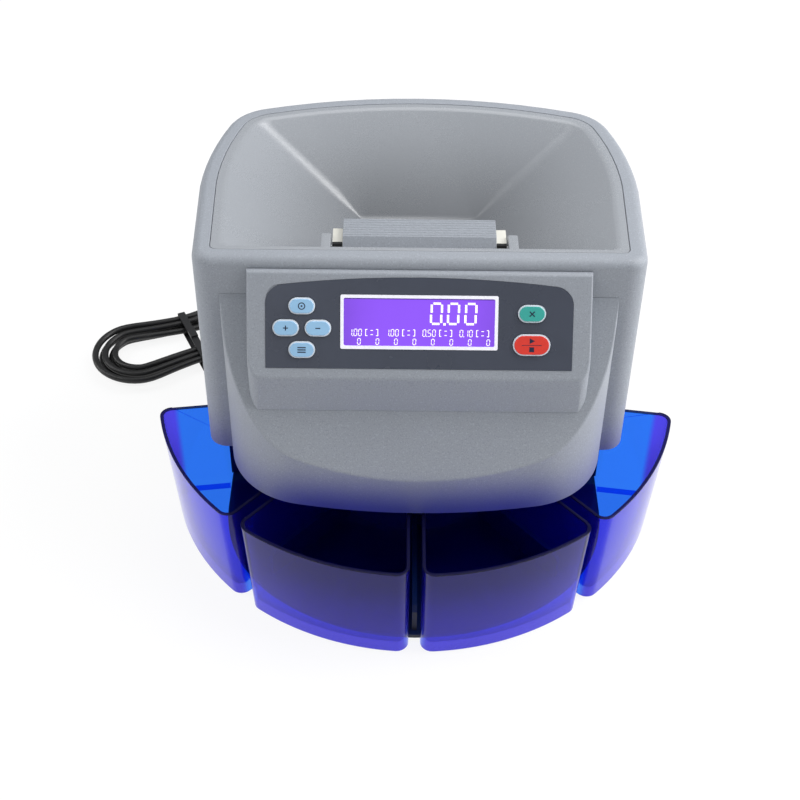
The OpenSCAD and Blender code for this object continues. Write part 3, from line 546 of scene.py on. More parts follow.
# The hopper's grey carries painted shade that darkens towards the throat.
HOPPER_GREY = SparkPlastic(
    "hopper_grey", "body_grey", srgb(156, 160, 166), 1900.0, 0.00003, 0.27, 0.06, 0.2, painted_deep_shade=0.85, shine=1.0,
)
DARK_BASE = SparkPlastic("dark_base_spark", "dark_base", srgb(46, 47, 52), 1300.0, 0.0001, 0.55, 0.1, 0.3)
FOOT_RUBBER = Rubber("foot_rubber", "foot_rubber", srgb(28, 28, 29), 0.75)
CORD_JACKET = Rubber("cord_jacket", "cord_jacket", srgb(16, 16, 17), 0.42)
FILM = SatinPlastic("overlay_film", "overlay_film", srgb(72, 77, 90), 0.25, 0.15, 0.05)
DISPLAY_FRAME = Print("display_frame_white", "display_frame", srgb(240, 240, 248), 0.25)
DISPLAY = Backlit("display_violet", "display", srgb(148, 88, 255), 0.95)
LIT_SEGMENTS = Print("lit_segments", "display_frame", srgb(245, 240, 255), 0.7)
WHITE_INK = Print("white_ink", "display_frame", srgb(232, 236, 240))
KEY_RIM = SatinPlastic("key_rim_white", "key_blue", srgb(226, 234, 244), 0.4, 0.0, 0.03)
DARK_INK = Print("dark_ink", "black_plastic", srgb(28, 38, 66))
STEEL = Metal("plated_steel", "steel", (0.62, 0.63, 0.65, 1.0))
BRONZE = Metal("turned_bronze", "bronze", (0.55, 0.36, 0.14, 1.0), 0.34, (1.0, 1.0, 0.05))
CORE_IRON = Metal("varnished_core", "core_iron", (0.16, 0.13, 0.11, 1.0), 0.5, (1.0, 1.0, 8.0))
CIRCUIT = Board("circuit_mask", "circuit_board")
BLACK_PLASTIC = SparkPlastic(
    "black_plastic", "black_plastic", srgb(30, 30, 32), 1600.0, 0.00006, 0.42, 0.08, 0.3,
)
WHITE_ACETAL = SatinPlastic("white_acetal", "white_acetal", srgb(236, 234, 224), 0.38, 0.0, 0.04)
TRAY_BLUE = TintedClear("tray_blue_clear", "tray_blue", (0.17, 0.44, 0.97, 1.0), srgb(84, 70, 236))
KEY_BLUE = SatinPlastic("key_blue", "key_blue", srgb(160, 206, 242), 0.36, 0.1, 0.04)
KEY_GREEN = SatinPlastic("key_green", "key_green", srgb(62, 178, 166), 0.36, 0.1, 0.04)
KEY_RED = SatinPlastic("key_red", "key_red", srgb(236, 62, 48), 0.36, 0.1, 0.04)


class Frame(Enum):
    """The frames that pieces are drawn in."""

    ROW = "row"
    PANEL = "panel"


# Foot and head of the console's sloping face, which the panel's frame lies on
PANEL_FOOT = Vector((0.0, -106.0 + FAN, 178.0))
PANEL_HEAD = Vector((0.0, -71.6 + FAN, 232.6))
PANEL_RUN = PANEL_HEAD - PANEL_FOOT
PANEL_TILT = math.atan2(PANEL_RUN.z, PANEL_RUN.y)
FRAMES: dict[Frame, Matrix] = {
    Frame.ROW: Matrix.Identity(4),
    Frame.PANEL: Matrix.Translation(PANEL_FOOT * MM) @ Matrix.Rotation(PANEL_TILT, 4, "X"),
}


def put_down(
    bm: bmesh.types.BMesh,
    name: str,
    finish: Finish,
    body: str,
    replaces: Sequence[str] = (),
    where: Frame = Frame.ROW,
    crisp: float = 32.0,
) -> bpy.types.Object:
    """Makes a finished piece of a bmesh, with its place in its mesh.

    Args:
        bm: The shape, in metres; it is freed.
        name: The piece's name.
        finish: Its finish.
        body: The CAD body that it rides on.
        replaces: CAD nodes that it stands for.
        where: The frame that it is drawn in.
        crisp: Edges sharper than this many degrees stay crisp.

    Returns:
        The piece.
    """
    bm.transform(FRAMES[where])
    mesh = bpy.data.meshes.new(name)
    bm.to_mesh(mesh)
    bm.free()
    if "custom_normal" in mesh.attributes:
        mesh.attributes.remove(mesh.attributes["custom_normal"])
    mesh.shade_smooth()
    mesh.set_sharp_from_angle(angle=math.radians(crisp))
    mesh.materials.clear()
    mesh.materials.append(finish.material())
    piece = bpy.data.objects.new(name, mesh)
    bpy.context.scene.collection.objects.link(piece)
    weighted = piece.modifiers.new("even_shading", "WEIGHTED_NORMAL")
    weighted.keep_sharp = True
    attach(piece, body)
    if replaces:
        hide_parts(*replaces)
    log.info("%s: %d faces, %s, rides on %s", name, len(mesh.polygons), finish.name, body)
    return piece


def coat(finish: Finish, *nodes: str) -> None:
    """Gives CAD nodes that keep their own shape a finish.

    Args:
        finish: The finish.
        nodes: The nodes' names.
    """
    for node in nodes:
        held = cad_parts[node]
        if not held.material_slots:
            held.data.materials.append(None)
        for slot in held.material_slots:
            slot.link = "OBJECT"
            slot.material = finish.material()
        log.info("%s: as packed, %s", node, finish.name)


def copy_of(node: str) -> bmesh.types.BMesh:
    """Copies a CAD node's mesh, joined at its seams and with its flat faces whole.

    Args:
        node: The node's name.

    Returns:
        The copy.
    """
    bm = bmesh.new()
    bm.from_mesh(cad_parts[node].data)
    bmesh.ops.remove_doubles(bm, verts=bm.verts, dist=2e-6)
    bmesh.ops.dissolve_limit(bm, angle_limit=math.radians(0.4), verts=bm.verts, edges=bm.edges)
    return bm


def round_edges(
    bm: bmesh.types.BMesh,
    width: float,
    steps: int,
    chosen: Chosen = lambda a, b: True,
    sharper: float = 28.0,
) -> None:
    """Rounds the sharp edges that are chosen.

    Args:
        bm: The shape.
        width: How far from the edge the rounding starts, in metres.
        steps: Faces across the rounding.
        chosen: Tells from an edge's two ends whether it is rounded.
        sharper: Least angle between the edge's faces, in degrees.
    """
    least = math.radians(sharper)
    edges = [
        e for e in bm.edges
        if e.is_manifold and e.calc_face_angle(0.0) > least and chosen(*(v.co for v in e.verts))
    ]
    bmesh.ops.bevel(
        bm, geom=edges, offset=width, offset_type="OFFSET", segments=steps, profile=0.5, affect="EDGES",
        clamp_overlap=False, material=-1,
    )
    hair = 0.01 * MM
    bmesh.ops.remove_doubles(bm, verts=bm.verts, dist=hair)
    bmesh.ops.dissolve_degenerate(bm, edges=bm.edges, dist=hair)


def rounded(
    node: str, finish: Finish, body: str, width: float, steps: int = 2,
    chosen: Chosen = lambda a, b: True, crisp: float = 32.0,
) -> bpy.types.Object:
    """Makes a piece that is a CAD node with rounded edges, and stands for it.

    Args:
        node: The node's name.
        finish: Its finish.
        body: The body that it rides on.
        width: Rounding of its edges in metres.
        steps: Faces across the rounding.
        chosen: Tells which edges are rounded.
        crisp: Edges sharper than this many degrees stay crisp.

    Returns:
        The piece.
    """
    bm = copy_of(node)
    round_edges(bm, width, steps, chosen)
    return put_down(bm, node + "_dressed", finish, body, [node], crisp=crisp)


@dataclass(frozen=True)
class SoftBox:
    """One square lamp: its place and aim and its width in metres, and its power in watts."""

    name: str
    place: Sequence[float]
    size: float
    power: float
    aim: Sequence[float] = (0.0, 0.0, 0.12)

    def hang(self) -> None:
        """Hangs the lamp, turned to its aim."""
        lamp = bpy.data.lights.new(self.name, "AREA")
        lamp.size = self.size
        lamp.energy = self.power
        held = bpy.data.objects.new(self.name, lamp)
        held.location = self.place
        held.rotation_euler = (Vector(self.aim) - Vector(self.place)).to_track_quat("-Z", "Y").to_euler()
        bpy.context.scene.collection.objects.link(held)


@dataclass
class Studio:
    """Camera, floor and soft lights; the focal length is in pixels of the picture."""

    picture_px: float = 800.0
    sensor: float = 36.0
    focal_px: float = 1423.563
    eye: Sequence[float] = (-12.94 * MM, -735.57 * MM, 744.98 * MM)
    down: float = 0.7278
    yaw: float = 0.0028
    roll: float = 0.0124
    floor_size: float = 12.0
    paper: Colour = (0.9, 0.9, 0.9, 1.0)
    paper_glow: float = 1.04
    glow_share: float = 0.85
    sky: Colour = (0.95, 0.97, 1.0, 1.0)
    sky_strength: float = 0.34
    lamps: Sequence[SoftBox] = (
        SoftBox("key_box", (1.3, 0.05, 1.5), 1.3, 28.0),
        SoftBox("side_box", (-1.3, 0.05, 1.5), 0.7, 6.0),
        SoftBox("low_box", (1.8, 0.3, 0.6), 0.8, 11.5),
        SoftBox("left_box", (-1.8, 0.3, 0.6), 0.8, 6.0),
        SoftBox("fill_box", (-0.9, -1.7, 1.0), 1.3, 2.8),
        SoftBox("top_box", (0.1, 0.6, 1.95), 1.4, 9.0, (0.0, 0.0, 0.1)),
    )

    def build(self) -> None:
        """Puts up the camera, the floor, the lamps and the world."""
        self.camera()
        self.floor()
        for lamp in self.lamps:
            lamp.hang()
        self.world()

    def camera(self) -> None:
        """Stands the camera where the picture was taken."""
        level = Vector((math.cos(self.yaw), -math.sin(self.yaw), 0.0))
        forward = Vector((math.sin(self.yaw), math.cos(self.yaw), 0.0))
        ahead = forward * math.cos(self.down) - Vector((0.0, 0.0, math.sin(self.down)))
        upright = level.cross(ahead)
        right = level * math.cos(self.roll) + upright * math.sin(self.roll)
        up = upright * math.cos(self.roll) - level * math.sin(self.roll)
        lens = bpy.data.cameras.new("camera")
        lens.sensor_width = self.sensor
        lens.lens = self.focal_px * self.sensor / self.picture_px
        lens.clip_end = 50.0
        held = bpy.data.objects.new("camera", lens)
        turn = Matrix((right, up, -ahead)).transposed().to_4x4()
        held.matrix_world = Matrix.Translation(self.eye) @ turn
        bpy.context.scene.collection.objects.link(held)
        bpy.context.scene.camera = held

    def floor(self) -> None:
        """Lays the pale floor, which keeps the object's shadow."""
        bm = bmesh.new()
        bmesh.ops.create_grid(bm, x_segments=2, y_segments=2, size=self.floor_size / 2)
        mesh = bpy.data.meshes.new("floor")
        bm.to_mesh(mesh)
        bm.free()
        made = bpy.data.materials.new("floor_paper")
        made.use_nodes = True
        g = Graph(made.node_tree)
        paper = g.node("ShaderNodeBsdfDiffuse", {}, {"Color": self.paper})
        bright = g.node("ShaderNodeEmission", {}, {"Color": WHITE, "Strength": self.paper_glow})
        seen = g.node("ShaderNodeLightPath", output="Is Camera Ray")
        through = g.node("ShaderNodeLightPath", output="Is Transmission Ray")
        mirrored = g.node("ShaderNodeLightPath", output="Is Glossy Ray")
        share = (seen + through + mirrored) * self.glow_share
        both = g.node("ShaderNodeMixShader", {}, {0: share, 1: paper, 2: bright})
        g.node("ShaderNodeOutputMaterial", {}, {"Surface": both})
        mesh.materials.append(made)
        floor = bpy.data.objects.new("floor", mesh)
        bpy.context.scene.collection.objects.link(floor)

    def world(self) -> None:
        """Sets the world's even light, which the camera sees as white."""
        world = bpy.data.worlds.new("studio_world")
        world.use_nodes = True
        g = Graph(world.node_tree)
        even = g.node("ShaderNodeBackground", {}, {"Color": self.sky, "Strength": self.sky_strength})
        white = g.node("ShaderNodeBackground", {}, {"Color": WHITE, "Strength": 1.0})
        seen = g.node("ShaderNodeLightPath", output="Is Camera Ray")
        both = g.node("ShaderNodeMixShader", {}, {0: seen, 1: even, 2: white})
        g.node("ShaderNodeOutputWorld", {}, {"Surface": both})
        bpy.context.scene.world = world
        bpy.context.scene.view_settings.view_transform = "Standard"


@dataclass
class MainsCord:
    """The mains cord: out of the gland, into a tied hank, and on to the plug."""

    thick: float = 5.2
    loops: int = 4
    per_loop: int = 24
    last_points: int = 17
    run: float = 45.0
    fold: float = 17.0
    pitch: float = 7.8
    low: float = 3.9
    layer: float = 5.9
    waist: float = 0.21
    turn: float = math.radians(25)
    middle: Vector = field(default_factory=lambda: Vector((-180, 139, 0)))
    plug: Vector = field(default_factory=lambda: Vector((-99, 133, 8.4)))
    plug_turn: float = math.radians(12)

    def hank_point(self, i: int) -> Vector:
        """Gives one of the hank's points: a sixth of a loop straight, a third round, and the same back.

        Args:
            i: The point's number.

        Returns:
            The point, in millimetres about the fan's axis.
        """
        j, q = i % self.per_loop, i / self.per_loop
        if j < 4:
            angle, along = 90.0, self.run * (1 - j / 2)
        elif j < 12:
            angle, along = 90 + 180 * (j - 4) / 8, -self.run
        elif j < 16:
            angle, along = 270.0, self.run * ((j - 12) / 2 - 1)
        else:
            angle, along = 270 + 180 * (j - 16) / 8, self.run
        reach = self.fold + self.pitch * abs(q - self.loops / 2)
        x = along + reach * math.cos(math.radians(angle))
        ease = 1 - self.waist * (1 + math.cos(math.pi * min(1.0, abs(x) / (self.run + 10)))) / 2
        height = self.low + self.layer * max(0.0, min(1.0, (q - self.loops / 2) * 6))
        y = reach * math.sin(math.radians(angle)) * ease
        flat = Matrix.Rotation(self.turn, 3, "Z") @ Vector((x, y, 0))
        return self.middle + flat + Vector((0, 0, height))

    @staticmethod
    def smooth(points: Sequence[Vector], steps: int) -> list[Vector]:
        """Runs a smooth route through points.

        Args:
            points: The points.
            steps: Steps in each stretch.

        Returns:
            The route.
        """
        route = []
        for i in range(len(points) - 1):
            a, b = points[max(i - 1, 0)], points[i]
            c, d = points[i + 1], points[min(i + 2, len(points) - 1)]
            for k in range(steps):
                t = k / steps
                route.append(
                    b + (c - a) * (t / 2) + (2 * a - 5 * b + 4 * c - d) * (t * t / 2)
                    + (3 * b - a - 3 * c + d) * (t ** 3 / 2)
                )
        return route + [points[-1]]

    def route(self) -> list[Vector]:
        """Gives the cord's whole line from the gland to the plug.

        Returns:
            Points in metres, in the row frame.
        """
        hank = [self.hank_point(i) for i in range(self.per_loop * self.loops + self.last_points)]
        into = (hank[1] - hank[0]).normalized()
        onward = (hank[-1] - hank[-2]).normalized()
        along = Vector((math.cos(self.plug_turn), math.sin(self.plug_turn), 0))
        lead = [
            Vector(p) for p in (
                (-70, 130, 30), (-70, 136, 30), (-70, 152, 26), (-74, 171, 14), (-84, 190, 6), (-100, 201, 4),
                (-119, 200, 3.9),
            )
        ] + [hank[0] - 3 * self.thick * into, hank[0] - self.thick * into]
        tail = [hank[-1] + self.thick * onward]
        tail += [self.plug - 2 * self.thick * along, self.plug - self.thick * along, self.plug - 0.2 * along]
        line = self.smooth(lead + hank[:1], 4)[:-1]
        line += self.smooth(hank, 3)[:-1]
        line += self.smooth(hank[-1:] + tail, 4)
        return [p * MM + Vector((0, FAN_Y, 0)) for p in line]

    def build(self) -> None:
        """Lays the cord and dresses its gland, tie and plug."""
        line = self.route()
        curve = bpy.data.curves.new("mains_cord", "CURVE")
        curve.dimensions = "3D"
        spline = curve.splines.new("POLY")
        spline.points.add(len(line) - 1)
        for point, place in zip(spline.points, line):
            point.co = (*place, 1.0)
        spline.use_smooth = True
        curve.bevel_depth = self.thick / 2 * MM
        curve.bevel_resolution = 4
        curve.use_fill_caps = True
        curve.materials.append(CORD_JACKET.material())
        cord = bpy.data.objects.new("mains_cord", curve)
        bpy.context.scene.collection.objects.link(cord)
        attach(cord, CHASSIS)
        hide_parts("cord_lead", "cord_hank", "cord_tail")
        gland = rounded("cord_gland", BLACK_PLASTIC, CHASSIS, 0.3 * MM)
        plug = rounded("plug_body", BLACK_PLASTIC, CHASSIS, 0.5 * MM)
        pins = rounded("plug_pins", STEEL, CHASSIS, 0.35 * MM)
        tie = rounded("cord_tie", BLACK_PLASTIC, CHASSIS, 0.25 * MM)
        length = sum((b - a).length for a, b in zip(line, line[1:]))
        log.info("mains_cord: %.2f m long", length)


# The film's upper right corner on the panel, the rounding there, and the film's bed in the console
FILM_CORNER = (93.0, 56.1)
FILM_ROUNDING = 10.0
BED_DEPTH = 0.8
BED_GAP = 0.15


def shoulders(bm: bmesh.types.BMesh, grow: float, levels: Sequence[float]) -> None:
    """Rounds the two upper corners of the film's plan.

    Args:
        bm: The film, or the console with the film's bed.
        grow: How far the plan's edge lies outside the film's, in millimetres.
        levels: Heights of the plan's two faces in the panel's frame, in millimetres.
    """
    panel = FRAMES[Frame.PANEL]
    back = panel.inverted()

    def at_corner(p: Vector) -> bool:
        """Tells whether a point lies at one of the two corners."""
        x, y, z = (back @ p) / MM
        across, up = abs(x) - FILM_CORNER[0], y - FILM_CORNER[1]
        return -1.5 < across < 0.5 and -1.6 < up < 0.9 and min(levels) - 0.1 < z < max(levels) + 0.1

    for side, level in itertools.product((-1, 1), levels):
        near = [
            v for v in bm.verts
            if at_corner(v.co) and side * v.co.x > 0 and abs((back @ v.co).z / MM - level) < 0.1
        ]
        corner = Vector((side * (FILM_CORNER[0] + grow), FILM_CORNER[1] + grow, level))
        bmesh.ops.pointmerge(bm, verts=near, merge_co=panel @ (corner * MM))
    round_edges(bm, FILM_ROUNDING * MM, 7, lambda a, b: at_corner(a) and at_corner(b), 60.0)


@dataclass
class Shell:
    """The grey mouldings: housing, apron, console and hopper.

    The hopper's back corners run from throat_corner to a round of mouth_r about mouth_corner. Each opens
    towards corner_aim, and corner_cosine belongs to half its turn. The two bows give a centre and a radius
    that lie 15 mm inside the housing's plan.
    """

    rings: Sequence[float] = (191.0, 194.0, 198.0, 203.0, 209.0, 216.0, 223.0, 230.0, 235.0)
    crease_r: float = 12.0
    loosest_r: float = 40.0
    throat_z: float = 188.0
    funnel_rise: float = 52.0
    throat_corner: Sequence[float] = (37.0, 73.5)
    mouth_corner: Sequence[float] = (96.71, 104.54)
    mouth_r: float = 19.6
    corner_aim: Sequence[float] = (0.701, 0.713)
    corner_cosine: float = 0.892
    rim: float = 238.6 * MM
    lip: float = 238.7 * MM
    mouth_front: float = -27.04
    side_bow: Sequence[float] = (-90.0, 41.7, 217.0)
    back_bow: Sequence[float] = (-200.5, 340.0)
    slope_foot: Sequence[float] = (-103.0, 113.0)
    slope_rise: float = 1.66
    slope_half_width: float = 122.6 * MM
    slope_back: float = -43 * MM

    def build(self) -> None:
        """Dresses the four mouldings with their rounded edges."""
        self.housing()
        self.apron()
        self.console()
        self.hopper()

    def housing(self) -> None:
        """Smooths the housing, which already has its round rim."""
        rounded("upper_housing", BODY_GREY, CHASSIS, 0.6 * MM, 2, lambda a, b: max(a.z, b.z) > self.rim, 40.0)

    def apron(self) -> None:
        """Rounds the edge between the apron's slope and its skirt."""
        bm = copy_of("front_apron")
        round_edges(bm, 1.2 * MM, 3, lambda a, b: all(
            abs(self.over_slope(p)) < 0.15 and abs(p.x) < self.slope_half_width and p.y < self.slope_back
            for p in (a, b)
        ))
        put_down(bm, "front_apron_dressed", BODY_GREY, CHASSIS, ["front_apron"])

    def over_slope(self, p: Vector) -> float:
        """Gives a point's height over the apron's sloping face, in millimetres."""
        foot_y, foot_z = self.slope_foot
        return p.z / MM - foot_z - self.slope_rise * (p.y / MM - foot_y)

    def console(self) -> None:
        """Rounds the edges round the console's sloping face, its foot and the film's bed."""
        to_panel = FRAMES[Frame.PANEL].inverted()

        def outer(a: Vector, b: Vector) -> bool:
            """Tells whether an edge bounds the sloping face outside the film."""
            ends = [(to_panel @ p) / MM for p in (a, b)]
            past_film = FILM_CORNER[0] + 1.0
            return all(abs(e.z) < 0.06 and (abs(e.x) > past_film or e.y < 6.2) for e in ends)

        bm = copy_of("console")
        shoulders(bm, BED_GAP, (-BED_DEPTH, 0.0))
        round_edges(bm, 1.4 * MM, 3, outer)
        round_edges(bm, 0.7 * MM, 2, lambda a, b: all(abs(self.over_slope(p)) < 0.6 for p in (a, b)))
        put_down(bm, "console_dressed", BODY_GREY, CHASSIS, ["console"])

    def hopper(self) -> None:
        """Rings the funnel so that it shades as a smooth cone, and eases its mouth, seam and ears."""
        bm = copy_of("hopper")
        for level in self.rings:
            whole = [*bm.verts, *bm.edges, *bm.faces]
            bmesh.ops.bisect_plane(bm, geom=whole, dist=1e-6, plane_co=(0, 0, level * MM), plane_no=(0, 0, 1))
        self.crease(bm)
        round_edges(bm, 0.5 * MM, 2, lambda a, b: min(a.z, b.z) > self.lip and not self.on_mouth(a))
        round_edges(
            bm, 2.2 * MM, 4, lambda a, b: all(p.z > self.lip and self.on_mouth(p) for p in (a, b)), sharper=12.0
        )
        round_edges(bm, 0.9 * MM, 2, lambda a, b: self.on_ear(a) and self.on_ear(b))
        put_down(bm, "hopper_dressed", HOPPER_GREY, CHASSIS, ["hopper"], crisp=36.0)

    def crease(self, bm: bmesh.types.BMesh) -> None:
        """Draws each ring's back corners to one radius, so that the creases run evenly from throat to mouth.

        Args:
            bm: The ringed copy of the hopper.
        """
        for side, level in itertools.product((-1, 1), self.rings):
            mirror = Vector((side, 1.0))
            share = (level - self.throat_z) / self.funnel_rise
            tight = min(self.crease_r / share, self.loosest_r)
            start = Vector(self.throat_corner) * mirror * (1 - share)
            centre = Vector(self.mouth_corner) * mirror
            shift = Vector(self.corner_aim) * mirror * ((self.mouth_r - tight) / self.corner_cosine)
            for v in bm.verts:
                if abs(v.co.z - level * MM) < 1e-6 and side * v.co.x > 0.0:
                    out = (v.co.xy / MM - start) / share - centre
                    if abs(out.length - self.mouth_r) < 0.2:
                        moved = centre + shift + out * (tight / self.mouth_r)
                        v.co.xy = (start + moved * share) * MM

    def on_mouth(self, p: Vector) -> bool:
        """Tells whether a point is 15 mm inside the housing's bowed plan: on the mouth's edge, not on the seam.

        Args:
            p: A point at the lip's height.

        Returns:
            Whether it lies within the side's bow, the back's bow and the front line.
        """
        x, y = abs(p.x) / MM, p.y / MM
        side_x, side_y, side_r = self.side_bow
        back_y, back_r = self.back_bow
        in_sides = math.hypot(x - side_x, max(y - side_y, 0.0)) < side_r
        return y > self.mouth_front and in_sides and math.hypot(x, y - back_y) < back_r

    @staticmethod
    def on_ear(p: Vector) -> bool:
        """Tells whether a point lies on one of the ears that hold the guard's pin."""
        return 50 * MM < abs(p.x) < 62.5 * MM and p.y < 2 * MM and 205 * MM < p.z < 233.5 * MM


@dataclass
class ThroatGuard:
    """The ribbed bar on white clips that swings over the throat."""

    body: str = "throat_guard"
    clip_x: float = 51.0
    # Width and side outline of the dark blocks that paint the shade under each clip.
    shadow_block_width: float = 6.2
    shadow_block_profile: Sequence[Sequence[float]] = (
        (-41.2, 224.6), (-39.0, 230.5), (-36.6, 230.5), (-36.6, 229.8), (-38.0, 229.8), (-40.2, 224.4),
    )

    def build(self) -> None:
        """Dresses the bar, its clips and its pin, and adds dark blocks of painted shade under the clips' front
        ends.
        """
        rounded("guard_grip", BODY_GREY, self.body, 0.35 * MM)
        rounded("guard_carrier", WHITE_ACETAL, self.body, 0.3 * MM)
        coat(STEEL, "guard_pin")
        # Painted shade: dark blocks in the gaps under the clips.
        self.stops()

    def stops(self) -> None:
        """Models dark blocks at the clips' front ends: painted shade standing in for the shadowed gap under
        each clip.
        """
        bm = bmesh.new()
        for side in (-1, 1):
            left = side * self.clip_x - self.shadow_block_width / 2
            prism(bm, [(left, y + FAN, z) for y, z in self.shadow_block_profile], (self.shadow_block_width, 0, 0))
        round_edges(bm, 0.15 * MM, 2)
        put_down(bm, "guard_gap_shadows", FOOT_RUBBER, self.body)


@dataclass
class TrayFan:
    """The four tinted trays and the chutes above them."""

    count: int = 4
    eased_from: float = 50 * MM

    def build(self) -> None:
        """Dresses each tray with eased rims, and each chute."""
        for i in range(1, self.count + 1):
            tray = f"coin_tray_{i}"
            rounded(tray, TRAY_BLUE, tray, 0.7 * MM, chosen=lambda a, b: min(a.z, b.z) > self.eased_from)
            coat(TRAY_BLUE, f"coin_chute_{i}")


@dataclass
class Base:
    """Pan, rails, gear case, rear base, feet and screws."""

    def build(self) -> None:
        """Gives the base its finishes."""
        put_down(copy_of("rear_base"), "rear_base_dressed", DARK_BASE, CHASSIS, ["rear_base"])
        coat(DARK_BASE, "base_pan", "tray_rails", "gear_case")
        rounded("rubber_feet", FOOT_RUBBER, CHASSIS, 0.8 * MM)
        coat(STEEL, "base_screws")


@dataclass
class SortingWorks:
    """Deck, fence, disc, gears and motor under the hopper."""

    def build(self) -> None:
        """Gives the works their finishes."""
        coat(STEEL, "sorting_deck", "sorting_fence", "deck_screws", "disc_shaft", "motor_plate", "motor")
        rounded("sorting_disc", WHITE_ACETAL, "sorting_disc_set", 0.4 * MM)
        coat(WHITE_ACETAL, "drive_gear")
        coat(BRONZE, "shaft_bushes", "motor_pinion")
        coat(BLACK_PLASTIC, *(f"coin_sensor_{i}" for i in range(1, 5)))


@dataclass
class Electrics:
    """Boards, transformer and power switch."""

    rocker: Sequence[float] = (62.0, 113.0 + FAN, 46.0)
    rocker_turn: float = math.radians(-8)
    rocker_fall: Sequence[float] = (1.5, 7.6)
    mark_out: float = 4.9
    mark_up: float = 3.9

    def build(self) -> None:
        """Gives the electrics their finishes."""
        coat(CIRCUIT, "key_board", "main_board")
        coat(BLACK_PLASTIC, "key_switches", "board_parts")
        coat(STEEL, "board_screws", "lcd_module")
        coat(CORE_IRON, "transformer")
        rounded("switch_body", BLACK_PLASTIC, CHASSIS, 0.5 * MM)
        rounded("switch_rocker", BLACK_PLASTIC, "power_rocker", 0.4 * MM)
        self.rocker_marks()

    def rocker_marks(self) -> None:
        """Prints the plain on bar and off ring on the rocker's two faces."""
        bm = bmesh.new()
        slope = math.atan2(*self.rocker_fall)
        for end, count, radius, length in ((1, 1, 0.0, 3.0), (-1, 14, 1.2, 0.5)):
            face = Matrix.Translation((0, self.mark_out, end * self.mark_up))
            face @= Matrix.Rotation(end * slope, 4, "X")
            shape = Matrix.Diagonal((0.55, 0.08, length, 1.0))
            for k in range(count):
                turn = Matrix.Rotation(math.tau * k / count, 4, "Y")
                place = turn @ Matrix.Translation((0, 0, radius))
                bmesh.ops.create_cube(bm, size=1.0, matrix=face @ place @ shape)
        bm.transform(Matrix.Rotation(self.rocker_turn, 4, "X"))
        bm.transform(Matrix.Translation(self.rocker))
        bmesh.ops.scale(bm, vec=(MM, MM, MM), verts=bm.verts)
        put_down(bm, "switch_marks", WHITE_INK, "power_rocker")


class Sign(Enum):
    """The plain signs on the keys."""

    RING = "ring"
    PLUS = "plus"
    MINUS = "minus"
    STACK = "stack"
    CROSS = "cross"
    RUN_STOP = "run_stop"


@dataclass(frozen=True)
class Key:
    """One oval key: its place on the panel, half sizes, finish and sign, in millimetres."""

    name: str
    across: float
    up: float
    half_width: float
    half_height: float
    finish: Finish
    sign: Sign


KEYS: tuple[Key, ...] = (
    Key("key_preset", -71.0, 44.4, 8.1, 5.1, KEY_BLUE, Sign.RING),
    Key("key_plus", -80.7, 31.0, 8.1, 5.1, KEY_BLUE, Sign.PLUS),
    Key("key_minus", -61.2, 31.0, 8.1, 5.1, KEY_BLUE, Sign.MINUS),
    Key("key_batch", -71.0, 17.8, 8.1, 5.1, KEY_BLUE, Sign.STACK),
    Key("key_clear", 68.0, 41.0, 8.5, 5.4, KEY_GREEN, Sign.CROSS),
    Key("key_start_stop", 68.2, 22.0, 11.4, 6.6, KEY_RED, Sign.RUN_STOP),
)


def bar(bm: bmesh.types.BMesh, centre: Sequence[float], size: Sequence[float], turn: float = 0.0) -> None:
    """Adds one thin printed bar.

    Args:
        bm: The shape that it joins.
        centre: Its middle, in millimetres.
        size: Its width, height and thickness, in millimetres.
        turn: Its turn in its own plane, in radians.
    """
    place = Matrix.Translation(Vector(centre) * MM) @ Matrix.Rotation(turn, 4, "Z")
    bmesh.ops.create_cube(bm, size=1.0, matrix=place @ Matrix.Diagonal((*[s * MM for s in size], 1.0)))


def stadium(half_width: float, half_height: float, steps: int = 14) -> list[tuple[float, float]]:
    """Gives the outline of a long hole: flat above and below, with round ends.

    Args:
        half_width: Half of its width.
        half_height: Half of its height.
        steps: Steps round each end.

    Returns:
        Points round it, against the clock.
    """
    turns = [math.pi * (i / steps - 0.5) for i in range(steps + 1)]
    reach = half_width - half_height
    right = [(reach + half_height * math.cos(t), half_height * math.sin(t)) for t in turns]
    return right + [(-x, -y) for x, y in right]


def prism(bm: bmesh.types.BMesh, outline: Sequence[Sequence[float]], reach: Sequence[float]) -> None:
    """Extrudes one flat outline into a solid.

    Args:
        bm: The shape that it joins.
        outline: Points round the outline, in millimetres.
        reach: How far and where it is extruded, in millimetres.
    """
    face = bm.faces.new([bm.verts.new(Vector(p) * MM) for p in outline])
    grown = bmesh.ops.extrude_face_region(bm, geom=[face])["geom"]
    far = [v for v in grown if isinstance(v, bmesh.types.BMVert)]
    bmesh.ops.translate(bm, vec=Vector(reach) * MM, verts=far)
    bmesh.ops.recalc_face_normals(bm, faces=bm.faces)


